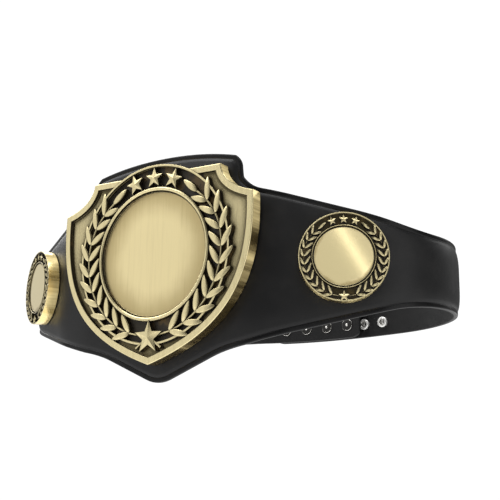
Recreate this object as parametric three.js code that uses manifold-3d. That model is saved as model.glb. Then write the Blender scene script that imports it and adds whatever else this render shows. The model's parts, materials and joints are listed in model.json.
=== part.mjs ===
// Championship title belt: a padded leather strap closed round an open waist, a cast shield with a laurel
// wreath on the front, two cast medals beside it, and snap fasteners where the strap ends overlap at the back.
// Millimetres. +X is the viewer's right, +Y goes from the shield to the back of the belt, +Z is up.

import * as THREE from 'three';
import * as BufferGeometryUtils from 'three/addons/utils/BufferGeometryUtils.js';
import Module from 'manifold-3d';

const wasm = await Module();
wasm.setup();

// Leather strap: walls and border
const strapThickness = 6.5;
const borderWidth = 4.4;
const borderStep = 2.3;
const creaseDepth = 0.5;
const padSlope = 2.7;
const padSlopeRise = 0.35;
const padShoulder = 12;

// Leather strap: plan of its padded face, from the middle of the front round one side to the back
const frontHalfWidth = 83.4;
const shoulderRadius = 109.7;
const shoulderTurn = 27.9;
const medalFlatLength = 52.8;
const sideRadius = 99.5;
const sideTurn = 67.1;
const rearRadius = 119.7;
const rearTurn = 72.3;

// Leather strap: heights. The shield's disc centre is at height 0.
const strapTop = 15.2;
const strapBottom = -49.5;
const rearDroop = 7;
const droopStart = 330;
const tabTop = 94.7;
const tabHalfWidth = 84.9;
const tabCornerDrop = 8.9;
const tabCornerSize = 6.8;
const tabCornerFall = 5.3;
const tabSideLean = 1;
const tabFootLean = 9.4;
const tabWaistHeight = 65;
const filletSize = 10.3;
const taperSlope = 0.255;
const taperRound = 24;
const lowerTaperSlope = 0.23;
const lowerTaperLead = 4;
const tabBottom = -115.6;
const pointRound = 14;
const pointRise = 3.1;
const flankEnd = 56;
const flankDrop = 9.2;
const flankBendPlace = 70;
const flankBendDrop = 3.2;
const lowerShoulder = 89;

// Leather strap: overlapping ends at the back, and the snaps there
const innerEndPastMiddle = 96.7;
const outerEndPastMiddle = 20.5;
const endCornerRadius = 12;
const endCornerDrop = 7.2;
const layerShift = 60;
const layerShiftLead = 5;
const snapEdgeDistance = 14;
const studEndDistance = 16;
const studPitch = 26.8;
const studColumns = 4;
const freeSocketOffsets = [16.4, 39.8];
const snapCapRadius = 6.3;
const snapCapHeight = 1.4;
const domeShare = 0.78;
const snapShankRadius = 2;
const studHeadRadius = 2.8;
const studFlangeRadius = 4.8;
const studFlangeHeight = 0.5;
const socketRadius = 5.6;
const socketHeight = 2.6;
const socketBoreRadius = 3.4;
const socketRoof = 0.5;

// Cast shield, face outline and depths below the rim's face
const shieldThickness = 12.8;
const shieldTopHalfWidth = 72.5;
const shieldTopHeight = 74.5;
const shieldHalfWidth = 106.4;
const shieldShoulderHeight = 46;
const shieldTipHeight = -100.8;
const shieldScoop = { across: 2.5, rise: 8 };
const shieldSide = { bulge: 1.043, bulgeFall: 0.56, flank: 0.73, flankFall: 0.75 };
const shieldRimWidth = 6;
const shieldFieldDepth = 2.9;
const shieldCoveWidth = 2.4;
const shieldCoveFoot = 0.7;

// Round wreath band of the shield
const shieldBand = {
  outerRadius: 83.6, ringWidth: 2, innerRadius: 62, beadWidth: 3.2, ledgeWidth: 1.4, floorDepth: 4.2, discDepth: 3,
  ringHeight: 0.4, beadHeight: 0.8, ledgeDepth: 1.2, segments: 54, leafOverrun: 3.6,
};
const wreathRelief = {
  leafShape: 'full', leafWidth: 6.2, leafRidge: 1.6, leafEdge: 0.1, tipDrop: 0.5, footSpread: 0.5, stemWidth: 1.8,
  stemHeight: 0.3, starHeight: 3.4, starTip: 1.4,
};
const starSizes = { small: 9.8, large: 15.5 };

// Cast medals
const medalRadius = 38.1;
const medalThickness = 11.4;
const medalHeight = -13.1;
const medalPlace = 177;
const medalBand = {
  outerRadius: medalRadius, ringWidth: 1.3, innerRadius: 27.1, beadWidth: 1.1, ledgeWidth: 0.7, floorDepth: 2.2,
  discDepth: 0.4, ringHeight: 0, beadHeight: 0, ledgeDepth: 1, segments: 36, leafOverrun: -0.7,
};
const medalRelief = {
  leafShape: 'short', leafWidth: 2.7, leafRidge: 0.1, leafEdge: -0.6, tipDrop: 0.3, footSpread: 0.35, stemWidth: 0,
  stemHeight: 0, starHeight: 0.3, starTip: -0.3,
};
const medalStarSizes = { small: 4.2, large: 5.4 };

// How far relief reaches down into the cast floor that it stands on
const rooted = 0.3;

// How far a cast wall leans from its top to its foot
const draft = 0.3;

// Plain screw posts behind the plates
const screwHeadRadius = 6;
const screwHeadHeight = 1.5;
const screwShankRadius = 2.4;
const shieldScrewInset = 7.2;
const shieldScrewAngle = 47;
const medalScrewSpread = 22;

// Gap between pieces that touch on the real belt, and the room that a closed snap takes between the two ends
const seatGap = 0.3;
const layerGap = socketHeight + studFlangeHeight + 3 * seatGap;

// Wreath: angles from the top of the circle, and radii as shares of the band's width
const leafPairs = 10;
const leafPitch = 12;
const firstLeafAngle = 162.4;
const lastStemAngle = 42.5;
const wreathShares = { stem: 0.61, stemTop: 0.37, innerTip: 0.04, terminalTip: 0.5, star: 0.42, largeStar: 0.67 };

// Where each stem crosses the other below the large star and ends
const stemEnd = [{ angle: 180, share: 0.63 }, { angle: 188, share: 0.84 }, { angle: 191.5, share: 1.13 }];

const outerTipTurn = 11.6;
const innerTipTurn = 13.2;
const terminalTipTurn = 15.5;
const starPitch = 18;
const starNotch = 0.42;
const stemOverrun = 1.5;
const stemTurnIn = 80;

const materials = {
  leather: { color: 0x1c1c1d, roughness: 0.42, metalness: 0 },
  brass: { color: 0xc9b477, roughness: 0.32, metalness: 1 },
  blackSnap: { color: 0x16120f, roughness: 0.3, metalness: 0.6 },
  chrome: { color: 0xd9d9d4, roughness: 0.12, metalness: 1 },
  steel: { color: 0x8d8d8d, roughness: 0.4, metalness: 1 },
};

const degrees = THREE.MathUtils.degToRad;

// Solids and meshes

// Shared points become one, and triangles that close to a line, as on a turned body's axis, go.
function sealed(geometry) {
  const bare = geometry.clone();
  bare.deleteAttribute('normal');
  bare.deleteAttribute('uv');
  const merged = BufferGeometryUtils.mergeVertices(bare, 1e-4);
  const kept = [];
  for (let step = 0; step < merged.index.count; step += 3) {
    const [a, b, c] = [0, 1, 2].map((corner) => merged.index.getX(step + corner));
    if (a !== b && b !== c && c !== a) kept.push(a, b, c);
  }
  merged.setIndex(kept);
  return merged;
}

function toSolid(geometry) {
  const shell = sealed(geometry);
  return new wasm.Manifold(new wasm.Mesh({
    numProp: 3,
    vertProperties: new Float32Array(shell.attributes.position.array),
    triVerts: new Uint32Array(shell.index.array),
  }));
}

function toGeometry(solid) {
  const mesh = solid.getMesh();
  const geometry = new THREE.BufferGeometry();
  geometry.setAttribute('position', new THREE.BufferAttribute(new Float32Array(mesh.vertProperties), 3));
  geometry.setIndex(new THREE.BufferAttribute(new Uint32Array(mesh.triVerts), 1));
  return geometry;
}

function makeMesh(name, geometry, finish) {
  const shaded = sealed(geometry);
  shaded.computeVertexNormals();
  const mesh = new THREE.Mesh(shaded, new THREE.MeshStandardMaterial(finish));
  mesh.name = name;
  return mesh;
}

// A closed body through rows of points: each row is a closed loop, and flat caps close both ends.
function skinThrough(rows) {
  const count = rows[0].length;
  const positions = rows.flat().flatMap((point) => [point.x, point.y, point.z]);
  const index = [];
  for (let row = 0; row + 1 < rows.length; row += 1) {
    for (let step = 0; step < count; step += 1) {
      const a = row * count + step;
      const b = row * count + (step + 1) % count;
      index.push(a, b, b + count, a, b + count, a + count);
    }
  }
  const last = (rows.length - 1) * count;
  for (let step = 1; step + 1 < count; step += 1) {
    index.push(0, step + 1, step);
    index.push(last, last + step, last + step + 1);
  }
  const geometry = new THREE.BufferGeometry();
  geometry.setAttribute('position', new THREE.Float32BufferAttribute(positions, 3));
  geometry.setIndex(index);
  return geometry;
}

// A turned body: profile points are [radius, height] from the axis up and back to it.
function turned(profile, segments) {
  const points = profile.map(([radius, height]) => new THREE.Vector2(radius, height));
  const geometry = new THREE.LatheGeometry(points, segments);
  geometry.rotateX(Math.PI / 2);
  return geometry;
}

// Plan of the strap

const planRuns = [
  { length: frontHalfWidth, turn: 0 },
  { length: shoulderRadius * degrees(shoulderTurn), turn: degrees(shoulderTurn) },
  { length: medalFlatLength, turn: 0 },
  { length: sideRadius * degrees(sideTurn), turn: degrees(sideTurn) },
  { length: rearRadius * degrees(rearTurn), turn: degrees(rearTurn) },
];

function stepAlong(start, length, turn) {
  if (Math.abs(turn) < 1e-9) {
    return {
      x: start.x + length * Math.cos(start.heading),
      y: start.y + length * Math.sin(start.heading),
      heading: start.heading,
    };
  }
  const radius = length / turn;
  const heading = start.heading + turn;
  return {
    x: start.x + radius * (Math.sin(heading) - Math.sin(start.heading)),
    y: start.y + radius * (Math.cos(start.heading) - Math.cos(heading)),
    heading,
  };
}

const planStarts = [{ x: 0, y: shieldThickness + seatGap, heading: 0 }];
for (const run of planRuns) planStarts.push(stepAlong(planStarts.at(-1), run.length, run.turn));

// The last run is one arc that meets the middle of the back square on.
const lastStart = planStarts.at(-1);
const closingTurn = Math.PI - lastStart.heading;
const closingRadius = lastStart.x / Math.sin(lastStart.heading);
planRuns.push({ length: closingRadius * closingTurn, turn: closingTurn });

const halfLoop = planRuns.reduce((sum, run) => sum + run.length, 0);

function planOnHalf(distance) {
  let left = distance;
  let index = 0;
  while (index + 1 < planRuns.length && left > planRuns[index].length) {
    left -= planRuns[index].length;
    index += 1;
  }
  const run = planRuns[index];
  return stepAlong(planStarts[index], left, run.turn * left / run.length);
}

// Position, direction of travel and inward direction at a distance along the padded face.
// Positive distances go round by +X and negative ones by -X.
function planAt(distance) {
  const past = Math.abs(distance) > halfLoop;
  const side = (distance < 0) === past ? 1 : -1;
  const place = planOnHalf(past ? 2 * halfLoop - Math.abs(distance) : Math.abs(distance));
  return {
    x: side * place.x,
    y: place.y,
    along: new THREE.Vector2(Math.cos(place.heading), side * Math.sin(place.heading)),
    inward: new THREE.Vector2(-side * Math.sin(place.heading), Math.cos(place.heading)),
  };
}

function onStrap(distance, inset, height) {
  const place = planAt(distance);
  return new THREE.Vector3(place.x + place.inward.x * inset, place.y + place.inward.y * inset, height);
}

// Edges of the strap, drawn flat: x is the distance from the middle of the front, y is the height

const tabCornerHeight = tabTop - tabCornerDrop;
const taperMiddle = (strapTop + strapBottom) / 2;
const sideFoot = new THREE.Vector2(tabHalfWidth + tabFootLean, tabWaistHeight - filletSize);
const taperEnd = sideFoot.x + (sideFoot.y - strapTop) / taperSlope;

const topEdge = new THREE.Path();
topEdge.moveTo(0, tabTop);
topEdge.quadraticCurveTo(tabHalfWidth / 2, tabTop, tabHalfWidth - tabCornerSize, tabCornerHeight);
topEdge.quadraticCurveTo(
  tabHalfWidth, tabCornerHeight - tabCornerFall, tabHalfWidth, tabCornerHeight - tabCornerFall - tabCornerSize,
);
topEdge.lineTo(tabHalfWidth + tabSideLean, tabWaistHeight);
topEdge.quadraticCurveTo(sideFoot.x, sideFoot.y, sideFoot.x + filletSize, sideFoot.y - filletSize * taperSlope);
topEdge.lineTo(taperEnd - taperRound, strapTop + taperRound * taperSlope);
topEdge.quadraticCurveTo(taperEnd, strapTop, taperEnd + taperRound, strapTop);
topEdge.lineTo(2 * halfLoop, strapTop);

const lowerTaperEnd = taperEnd - lowerTaperLead;
const lowerShoulderHeight = strapBottom - (lowerTaperEnd - lowerShoulder) * lowerTaperSlope;
const bottomEdge = new THREE.Path();
bottomEdge.moveTo(0, tabBottom);
bottomEdge.quadraticCurveTo(pointRound / 2, tabBottom, pointRound, tabBottom + pointRise);
bottomEdge.lineTo(flankEnd, lowerShoulderHeight - flankDrop);
bottomEdge.quadraticCurveTo(flankBendPlace, lowerShoulderHeight - flankBendDrop, lowerShoulder, lowerShoulderHeight);
bottomEdge.lineTo(lowerTaperEnd - taperRound, strapBottom - taperRound * lowerTaperSlope);
bottomEdge.quadraticCurveTo(lowerTaperEnd, strapBottom, lowerTaperEnd + 2 * taperRound, strapBottom);
bottomEdge.lineTo(2 * halfLoop, strapBottom);

const edgeSamples = 12;
const bottomPoints = bottomEdge.curves.flatMap((curve) => curve.getPoints(edgeSamples));

function heightOn(points, distance) {
  const next = Math.max(1, points.findIndex((point) => point.x >= distance));
  const before = points[next - 1];
  const after = points[next];
  const share = after.x > before.x ? (distance - before.x) / (after.x - before.x) : 0;
  return THREE.MathUtils.lerp(before.y, after.y, THREE.MathUtils.clamp(share, 0, 1));
}

function droopAt(distance) {
  const fromFront = Math.min(distance, 2 * halfLoop - distance);
  return rearDroop * THREE.MathUtils.smoothstep(fromFront, droopStart, halfLoop);
}

// How finely the plan's arcs and straights are cut
const planStep = degrees(8.5);
const longestStep = 30;
const closestStep = 3;

// Columns of the strap's front half: a point on the top edge with its square-on direction into the leather,
// and the point below it on the bottom edge.

function columnsOfHalf() {
  const columns = [];
  const add = (top, tangent, bottomDistance) => {
    columns.push({ top, into: new THREE.Vector2(tangent.y, -tangent.x), bottomDistance });
  };
  const [crown, corner, side, fillet, taper, level] = topEdge.curves;
  const crownSteps = 5;
  for (let step = 0; step < crownSteps; step += 1) {
    const top = crown.getPoint(step / crownSteps);
    add(top, crown.getTangent(step / crownSteps), top.x);
  }
  const cornerRun = [];
  for (const [curve, steps] of [[corner, 4], [side, 1], [fillet, 5]]) {
    for (let step = 0; step < steps; step += 1) {
      cornerRun.push([curve.getPoint(step / steps), curve.getTangent((step + 1e-3) / steps)]);
    }
  }
  const cornerStart = corner.getPoint(0).x;
  const cornerEnd = fillet.getPoint(1).x;
  cornerRun.forEach(([top, tangent], step) => {
    add(top, tangent, THREE.MathUtils.lerp(cornerStart, cornerEnd, step / cornerRun.length));
  });
  const heightAt = (distance) => {
    if (distance < taper.v2.x) {
      return THREE.MathUtils.lerp(taper.v1.y, taper.v2.y, (distance - taper.v1.x) / (taper.v2.x - taper.v1.x));
    }
    return heightOn(level.getPoints(edgeSamples).concat([new THREE.Vector2(2 * halfLoop, strapTop)]), distance);
  };
  const stations = [cornerEnd];
  let runStart = 0;
  for (const run of planRuns) {
    const pieces = Math.max(1, Math.ceil(run.turn / planStep));
    const roomy = Math.max(pieces, Math.ceil(run.length / longestStep));
    for (let piece = 0; piece < roomy; piece += 1) {
      const distance = runStart + run.length * piece / roomy;
      if (distance > cornerEnd + closestStep) stations.push(distance);
    }
    runStart += run.length;
  }
  for (const distance of stations) {
    const top = new THREE.Vector2(distance, heightAt(distance));
    const ahead = new THREE.Vector2(distance + 1, heightAt(distance + 1));
    add(top, ahead.sub(top).normalize(), distance);
  }
  return columns;
}

const halfColumns = columnsOfHalf();

// The section of one edge: distance in from the edge, and how far below the padded face it lies
const edgeSection = [
  { from: 0, inset: strapThickness },
  { from: 0, inset: borderStep },
  { from: borderWidth, inset: borderStep + creaseDepth },
  { from: borderWidth + padSlope, inset: borderStep * padSlopeRise },
  { from: padShoulder, inset: 0 },
];

// A section row at one column. Past the border the row turns straight down, so that tight corners stay clean.
function sectionRow(column, side, shift, endShare, endCut) {
  const rowPoint = (distance, height, inset) => {
    const thin = Math.max(inset, borderStep * endShare);
    const settled = inset === strapThickness ? strapThickness : thin;
    return onStrap(side * distance, settled + shift, height - droopAt(Math.abs(distance)));
  };
  const squareReach = borderWidth + padSlope / 2;
  const top = edgeSection.map(({ from, inset }) => {
    const square = Math.min(from, squareReach);
    const down = from - square;
    return rowPoint(
      column.top.x + column.into.x * square,
      column.top.y + column.into.y * square - down - endCut,
      inset,
    );
  });
  const bottomHeight = heightOn(bottomPoints, column.bottomDistance);
  const bottom = edgeSection.map(({ from, inset }) => (
    rowPoint(column.bottomDistance, bottomHeight + from + endCut, inset)
  ));
  return [...top, ...bottom.reverse()];
}

// Inward shift of the strap where its inner end runs behind the outer one
const innerLayerShift = strapThickness + layerGap;

function layerShiftAt(distance) {
  const outerEnd = halfLoop - outerEndPastMiddle;
  const shifted = THREE.MathUtils.smoothstep(distance, outerEnd - layerShift, outerEnd - layerShiftLead);
  return innerLayerShift * shifted;
}

// The last columns of an end: the corners round off and the pad thins to the border
function endColumns(lastDistance) {
  const steps = 3;
  const rows = [];
  const plain = lastDistance - endCornerRadius;
  for (let step = 0; step <= steps; step += 1) {
    const angle = Math.PI / 2 * step / steps;
    const distance = plain + endCornerRadius * Math.sin(angle);
    rows.push({
      distance,
      endCut: endCornerDrop * (1 - Math.cos(angle)),
      endShare: THREE.MathUtils.smoothstep(distance, lastDistance - borderWidth - padSlope, lastDistance - borderWidth),
    });
  }
  return rows;
}

function strapRows() {
  const rows = [];
  const levelColumn = (distance) => ({
    top: new THREE.Vector2(distance, strapTop), into: new THREE.Vector2(0, -1), bottomDistance: distance,
  });
  const innerEnd = halfLoop + innerEndPastMiddle;
  const outerEnd = halfLoop + outerEndPastMiddle;
  const inner = endColumns(innerEnd).reverse();
  for (const { distance, endCut, endShare } of inner) {
    rows.push(sectionRow(levelColumn(distance), -1, innerLayerShift, endShare, endCut));
  }
  const overlap = innerEnd - endCornerRadius - halfLoop;
  const overlapSteps = Math.ceil(overlap / longestStep);
  for (let step = overlapSteps - 1; step >= 0; step -= 1) {
    const distance = halfLoop + overlap * step / overlapSteps;
    rows.push(sectionRow(levelColumn(distance), -1, innerLayerShift, 0, 0));
  }
  for (let index = halfColumns.length - 1; index >= 1; index -= 1) {
    const column = halfColumns[index];
    rows.push(sectionRow(column, -1, layerShiftAt(column.top.x), 0, 0));
  }
  for (const column of halfColumns) rows.push(sectionRow(column, 1, 0, 0, 0));
  rows.push(sectionRow(levelColumn(halfLoop), 1, 0, 0, 0));
  for (const { distance, endCut, endShare } of endColumns(outerEnd)) {
    rows.push(sectionRow(levelColumn(distance), 1, 0, endShare, endCut));
  }
  return rows;
}

// Places for what goes through the leather: distance along the strap, height, side and layer

function placeThrough(distance, height, side, shift) {
  const { inward } = planAt(side * distance);
  const outward = new THREE.Vector3(-inward.x, -inward.y, 0);
  const foot = onStrap(side * distance, strapThickness + shift, height);
  return { foot, outward };
}

// Local +Z points outward through the leather, from its inside face.
function orient(object, { foot, outward }) {
  object.quaternion.setFromUnitVectors(new THREE.Vector3(0, 0, 1), outward);
  object.position.copy(foot);
  return object;
}

// A bore with its flats at the given radius
const boreSides = 6;

function drill(place, radius) {
  const cutter = new THREE.Object3D();
  orient(cutter, place);
  cutter.updateMatrix();
  const spare = 3;
  const corner = radius / Math.cos(Math.PI / boreSides);
  const bore = turned([
    [0, -spare], [corner, -spare], [corner, strapThickness + spare], [0, strapThickness + spare],
  ], boreSides);
  bore.applyMatrix4(cutter.matrix);
  return toSolid(bore);
}

const snapRows = [strapBottom + snapEdgeDistance, strapTop - snapEdgeDistance];
const firstStud = halfLoop - innerEndPastMiddle + studEndDistance;

const studPlaces = [];
const socketPlaces = [];
snapRows.forEach((rowHeight, row) => {
  for (let column = 0; column < studColumns; column += 1) {
    const distance = firstStud + column * studPitch;
    const height = rowHeight - droopAt(distance);
    const name = `${row ? 'upper' : 'lower'}_${column + 1}`;
    studPlaces.push({ name, ...placeThrough(distance, height, 1, innerLayerShift) });
    socketPlaces.push({ name, ...placeThrough(distance, height, 1, 0) });
  }
  freeSocketOffsets.forEach((offset, index) => {
    const distance = firstStud - offset;
    const name = `${row ? 'upper' : 'lower'}_${studColumns + index + 1}`;
    socketPlaces.push({ name, ...placeThrough(distance, rowHeight - droopAt(distance), 1, 0) });
  });
});

const shieldScrewCircle = shieldBand.outerRadius - shieldScrewInset;
const shieldScrewPlaces = [-1, 1].flatMap((side) => [-1, 1].map((end) => ({
  name: `shield_${end < 0 ? 'lower' : 'upper'}_${side < 0 ? 'left' : 'right'}`,
  ...placeThrough(
    shieldScrewCircle * Math.sin(degrees(shieldScrewAngle)),
    end * shieldScrewCircle * Math.cos(degrees(shieldScrewAngle)),
    side,
    0,
  ),
})));

const medalScrewPlaces = [-1, 1].flatMap((side) => [-1, 1].map((end) => ({
  name: `medal_${side < 0 ? 'left' : 'right'}_${end < 0 ? 'lower' : 'upper'}`,
  ...placeThrough(medalPlace, medalHeight + end * medalScrewSpread, side, 0),
})));

function buildStrap() {
  let strap = toSolid(skinThrough(strapRows()));
  for (const place of studPlaces.concat(socketPlaces)) strap = strap.subtract(drill(place, snapShankRadius + seatGap));
  for (const place of shieldScrewPlaces.concat(medalScrewPlaces)) {
    strap = strap.subtract(drill(place, screwShankRadius + seatGap));
  }
  return makeMesh('strap', toGeometry(strap), materials.leather);
}

// Snaps: heights are measured outward from the leather's inside face

function buildStud(place) {
  const leatherTop = strapThickness + seatGap;
  const headTop = leatherTop + layerGap - seatGap - socketHeight / 2;
  const profile = [
    [0, -seatGap - snapCapHeight], [snapCapRadius * domeShare, -seatGap - snapCapHeight], [snapCapRadius, -seatGap],
    [snapShankRadius, -seatGap], [snapShankRadius, leatherTop], [studFlangeRadius, leatherTop],
    [studFlangeRadius, leatherTop + studFlangeHeight], [studHeadRadius, leatherTop + studFlangeHeight],
    [studHeadRadius, headTop], [0, headTop],
  ];
  return orient(makeMesh(`snap_stud_${place.name}`, turned(profile, 8), materials.blackSnap), place);
}

function buildSocket(place) {
  const leatherTop = strapThickness + seatGap;
  const boreEnd = -seatGap - socketRoof;
  const profile = [
    [0, boreEnd], [socketBoreRadius, boreEnd], [socketBoreRadius, -seatGap - socketHeight],
    [socketRadius, -seatGap - socketHeight], [socketRadius, -seatGap], [snapShankRadius, -seatGap],
    [snapShankRadius, leatherTop], [snapCapRadius, leatherTop], [snapCapRadius * domeShare, leatherTop + snapCapHeight],
    [0, leatherTop + snapCapHeight],
  ];
  return orient(makeMesh(`snap_socket_${place.name}`, turned(profile, 8), materials.chrome), place);
}

function buildScrew(place) {
  const top = strapThickness;
  const profile = [
    [0, -seatGap - screwHeadHeight], [screwHeadRadius * domeShare, -seatGap - screwHeadHeight],
    [screwHeadRadius, -seatGap], [screwShankRadius, -seatGap], [screwShankRadius, top], [0, top],
  ];
  return orient(makeMesh(`plate_screw_${place.name}`, turned(profile, boreSides), materials.steel), place);
}

// Relief of the plates. In a plate's own frame x is right, y is up and z points out of its face, with the
// rim's face at z = 0 and the band's centre at the origin.

function polar(angle, radius) {
  return new THREE.Vector2(radius * Math.sin(degrees(angle)), radius * Math.cos(degrees(angle)));
}

// The round middle of a plate as one turned body: ring, band floor, bead, ledge and disc.
function bandBody(band, thickness) {
  const ringInner = band.outerRadius - band.ringWidth;
  const beadInner = band.innerRadius - band.beadWidth;
  const discEdge = beadInner - band.ledgeWidth;
  return turned([
    [0, -thickness], [band.outerRadius, -thickness], [band.outerRadius, band.ringHeight],
    [ringInner, band.ringHeight], [ringInner - draft, -band.floorDepth], [band.innerRadius + draft, -band.floorDepth],
    [band.innerRadius, band.beadHeight], [beadInner, band.beadHeight], [beadInner - draft, -band.ledgeDepth],
    [discEdge, -band.discDepth], [0, -band.discDepth],
  ], band.segments);
}

// A pointed leaf from its foot to its tip: edge points, walls down to the floor, and facets up to its ridge
const leafEdges = {
  full: [[0, 0], [0.3, -0.48], [0.66, -0.44], [1, 0], [0.66, 0.44], [0.3, 0.48]],
  short: [[0, 0], [0.45, -0.48], [1, 0], [0.45, 0.48]],
};
const ridgePlace = 0.4;

function leafBody(foot, tip, relief, floorDepth) {
  const length = foot.distanceTo(tip);
  const edge = leafEdges[relief.leafShape];
  const count = edge.length;
  const positions = [];
  for (const [along, across] of edge) positions.push(along * length, across * relief.leafWidth, -floorDepth - rooted);
  for (const [along, across] of edge) {
    positions.push(along * length, across * relief.leafWidth, relief.leafEdge - relief.tipDrop * along);
  }
  positions.push(ridgePlace * length, 0, relief.leafRidge);
  const ridge = 2 * count;
  const index = [];
  for (let step = 0; step < count; step += 1) {
    const next = (step + 1) % count;
    index.push(step, next, next + count, step, next + count, step + count);
    index.push(step + count, next + count, ridge);
  }
  for (let step = 1; step + 1 < count; step += 1) index.push(0, step + 1, step);
  const geometry = new THREE.BufferGeometry();
  geometry.setAttribute('position', new THREE.Float32BufferAttribute(positions, 3));
  geometry.setIndex(index);
  geometry.rotateZ(Math.atan2(tip.y - foot.y, tip.x - foot.x));
  geometry.translate(foot.x, foot.y, 0);
  return geometry;
}

// A five-pointed star: its facets fall from the middle to the arms' tips and notches.
function starBody(centre, radius, relief, floorDepth, turn) {
  const points = [];
  for (let step = 0; step < 10; step += 1) {
    const reach = step % 2 ? radius * starNotch : radius;
    const place = polar(turn + 36 * step, reach).add(centre);
    points.push(new THREE.Vector3(place.x, place.y, -floorDepth - rooted));
  }
  points.reverse();
  const positions = points.flatMap((point) => [point.x, point.y, point.z]);
  points.forEach((point) => positions.push(point.x, point.y, relief.starTip));
  positions.push(centre.x, centre.y, relief.starHeight, centre.x, centre.y, -floorDepth - rooted);
  const [apex, base] = [20, 21];
  const index = [];
  for (let step = 0; step < 10; step += 1) {
    const next = (step + 1) % 10;
    index.push(step, next, next + 10, step, next + 10, step + 10);
    index.push(step + 10, next + 10, apex, next, step, base);
  }
  const geometry = new THREE.BufferGeometry();
  geometry.setAttribute('position', new THREE.Float32BufferAttribute(positions, 3));
  geometry.setIndex(index);
  return geometry;
}

// A stem: a narrow bar with a flat top along a run of points.
function stemBody(points, width, top, floorDepth) {
  const rows = points.map((point, step) => {
    const before = points[Math.max(step - 1, 0)];
    const after = points[Math.min(step + 1, points.length - 1)];
    const across = after.clone().sub(before).normalize().rotateAround(new THREE.Vector2(), Math.PI / 2);
    const left = point.clone().addScaledVector(across, width / 2);
    const right = point.clone().addScaledVector(across, -width / 2);
    const floor = -floorDepth - rooted;
    return [
      new THREE.Vector3(left.x, left.y, floor), new THREE.Vector3(left.x, left.y, top),
      new THREE.Vector3(right.x, right.y, top), new THREE.Vector3(right.x, right.y, floor),
    ];
  });
  return skinThrough(rows);
}

function stemRadiusAt(band, angle) {
  const bandWidth = band.outerRadius - band.innerRadius;
  const bend = THREE.MathUtils.smoothstep(angle, lastStemAngle - leafPitch, stemTurnIn);
  return band.innerRadius + bandWidth * THREE.MathUtils.lerp(wreathShares.stemTop, wreathShares.stem, bend);
}

// Everything that stands on the band's floor, as a list of closed bodies
function wreathBodies(band, relief, stars) {
  const bodies = [];
  const bandWidth = band.outerRadius - band.innerRadius;
  const outerTip = band.outerRadius + band.leafOverrun;
  const innerTip = band.innerRadius + bandWidth * wreathShares.innerTip;
  const starRadius = band.innerRadius + bandWidth * wreathShares.star;
  const largeStarRadius = band.innerRadius + bandWidth * wreathShares.largeStar;
  const stemSteps = 12;
  for (const side of [-1, 1]) {
    const place = (angle, radius) => polar(side * angle, radius);
    const stem = [];
    for (let step = 0; step <= stemSteps; step += 1) {
      const angle = THREE.MathUtils.lerp(lastStemAngle - stemOverrun, firstLeafAngle + stemOverrun, step / stemSteps);
      stem.push(place(angle, stemRadiusAt(band, angle)));
    }
    for (const { angle, share } of stemEnd) stem.push(place(angle, band.innerRadius + bandWidth * share));
    if (relief.stemWidth) bodies.push(stemBody(stem, relief.stemWidth, relief.stemHeight, band.floorDepth));
    for (let pair = 0; pair < leafPairs; pair += 1) {
      const angle = firstLeafAngle - pair * leafPitch;
      const middle = stemRadiusAt(band, angle);
      const outer = place(angle - outerTipTurn, outerTip);
      const inner = place(angle - innerTipTurn, innerTip);
      bodies.push(leafBody(place(angle, middle + relief.footSpread), outer, relief, band.floorDepth));
      bodies.push(leafBody(place(angle, middle - relief.footSpread), inner, relief, band.floorDepth));
    }
    const top = place(lastStemAngle, stemRadiusAt(band, lastStemAngle));
    const terminal = place(lastStemAngle - terminalTipTurn, band.innerRadius + bandWidth * wreathShares.terminalTip);
    bodies.push(leafBody(top, terminal, relief, band.floorDepth));
  }
  for (const step of [-1, 0, 1]) {
    bodies.push(starBody(polar(step * starPitch, starRadius), stars.small, relief, band.floorDepth, step * starPitch));
  }
  bodies.push(starBody(polar(180, largeStarRadius), stars.large, relief, band.floorDepth, 0));
  return bodies.map(toSolid);
}

// Shield outline, counted clockwise from the middle of the top edge, and the same outline moved inward

function shieldCurve() {
  const half = new THREE.Path();
  half.moveTo(0, shieldTopHeight);
  half.lineTo(shieldTopHalfWidth, shieldTopHeight);
  half.quadraticCurveTo(
    shieldTopHalfWidth + shieldScoop.across, shieldShoulderHeight + shieldScoop.rise,
    shieldHalfWidth, shieldShoulderHeight,
  );
  half.bezierCurveTo(
    shieldHalfWidth * shieldSide.bulge, THREE.MathUtils.lerp(shieldShoulderHeight, shieldTipHeight, shieldSide.bulgeFall),
    shieldHalfWidth * shieldSide.flank, shieldTipHeight * shieldSide.flankFall,
    0, shieldTipHeight,
  );
  return half;
}

function shieldPoints(inset) {
  const [top, scoop, side] = shieldCurve().curves;
  const [scoopSteps, sideSteps] = [7, 13];
  const right = [top.getPoint(1), ...scoop.getPoints(scoopSteps).slice(1), ...side.getPoints(sideSteps).slice(1)];
  const left = right.slice(0, -1).reverse().map((point) => new THREE.Vector2(-point.x, point.y));
  const outline = [...right, ...left];
  return outline.map((point, step) => {
    const before = outline[(step + outline.length - 1) % outline.length];
    const after = outline[(step + 1) % outline.length];
    const arriving = point.clone().sub(before).normalize();
    const leaving = after.clone().sub(point).normalize();
    const inward = new THREE.Vector2(arriving.y + leaving.y, -arriving.x - leaving.x).normalize();
    const stretch = inward.dot(new THREE.Vector2(arriving.y, -arriving.x));
    return point.clone().addScaledVector(inward, inset / stretch);
  });
}

function shieldLayer(inset, level) {
  return shieldPoints(inset).reverse().map((point) => new THREE.Vector3(point.x, point.y, level));
}

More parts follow.
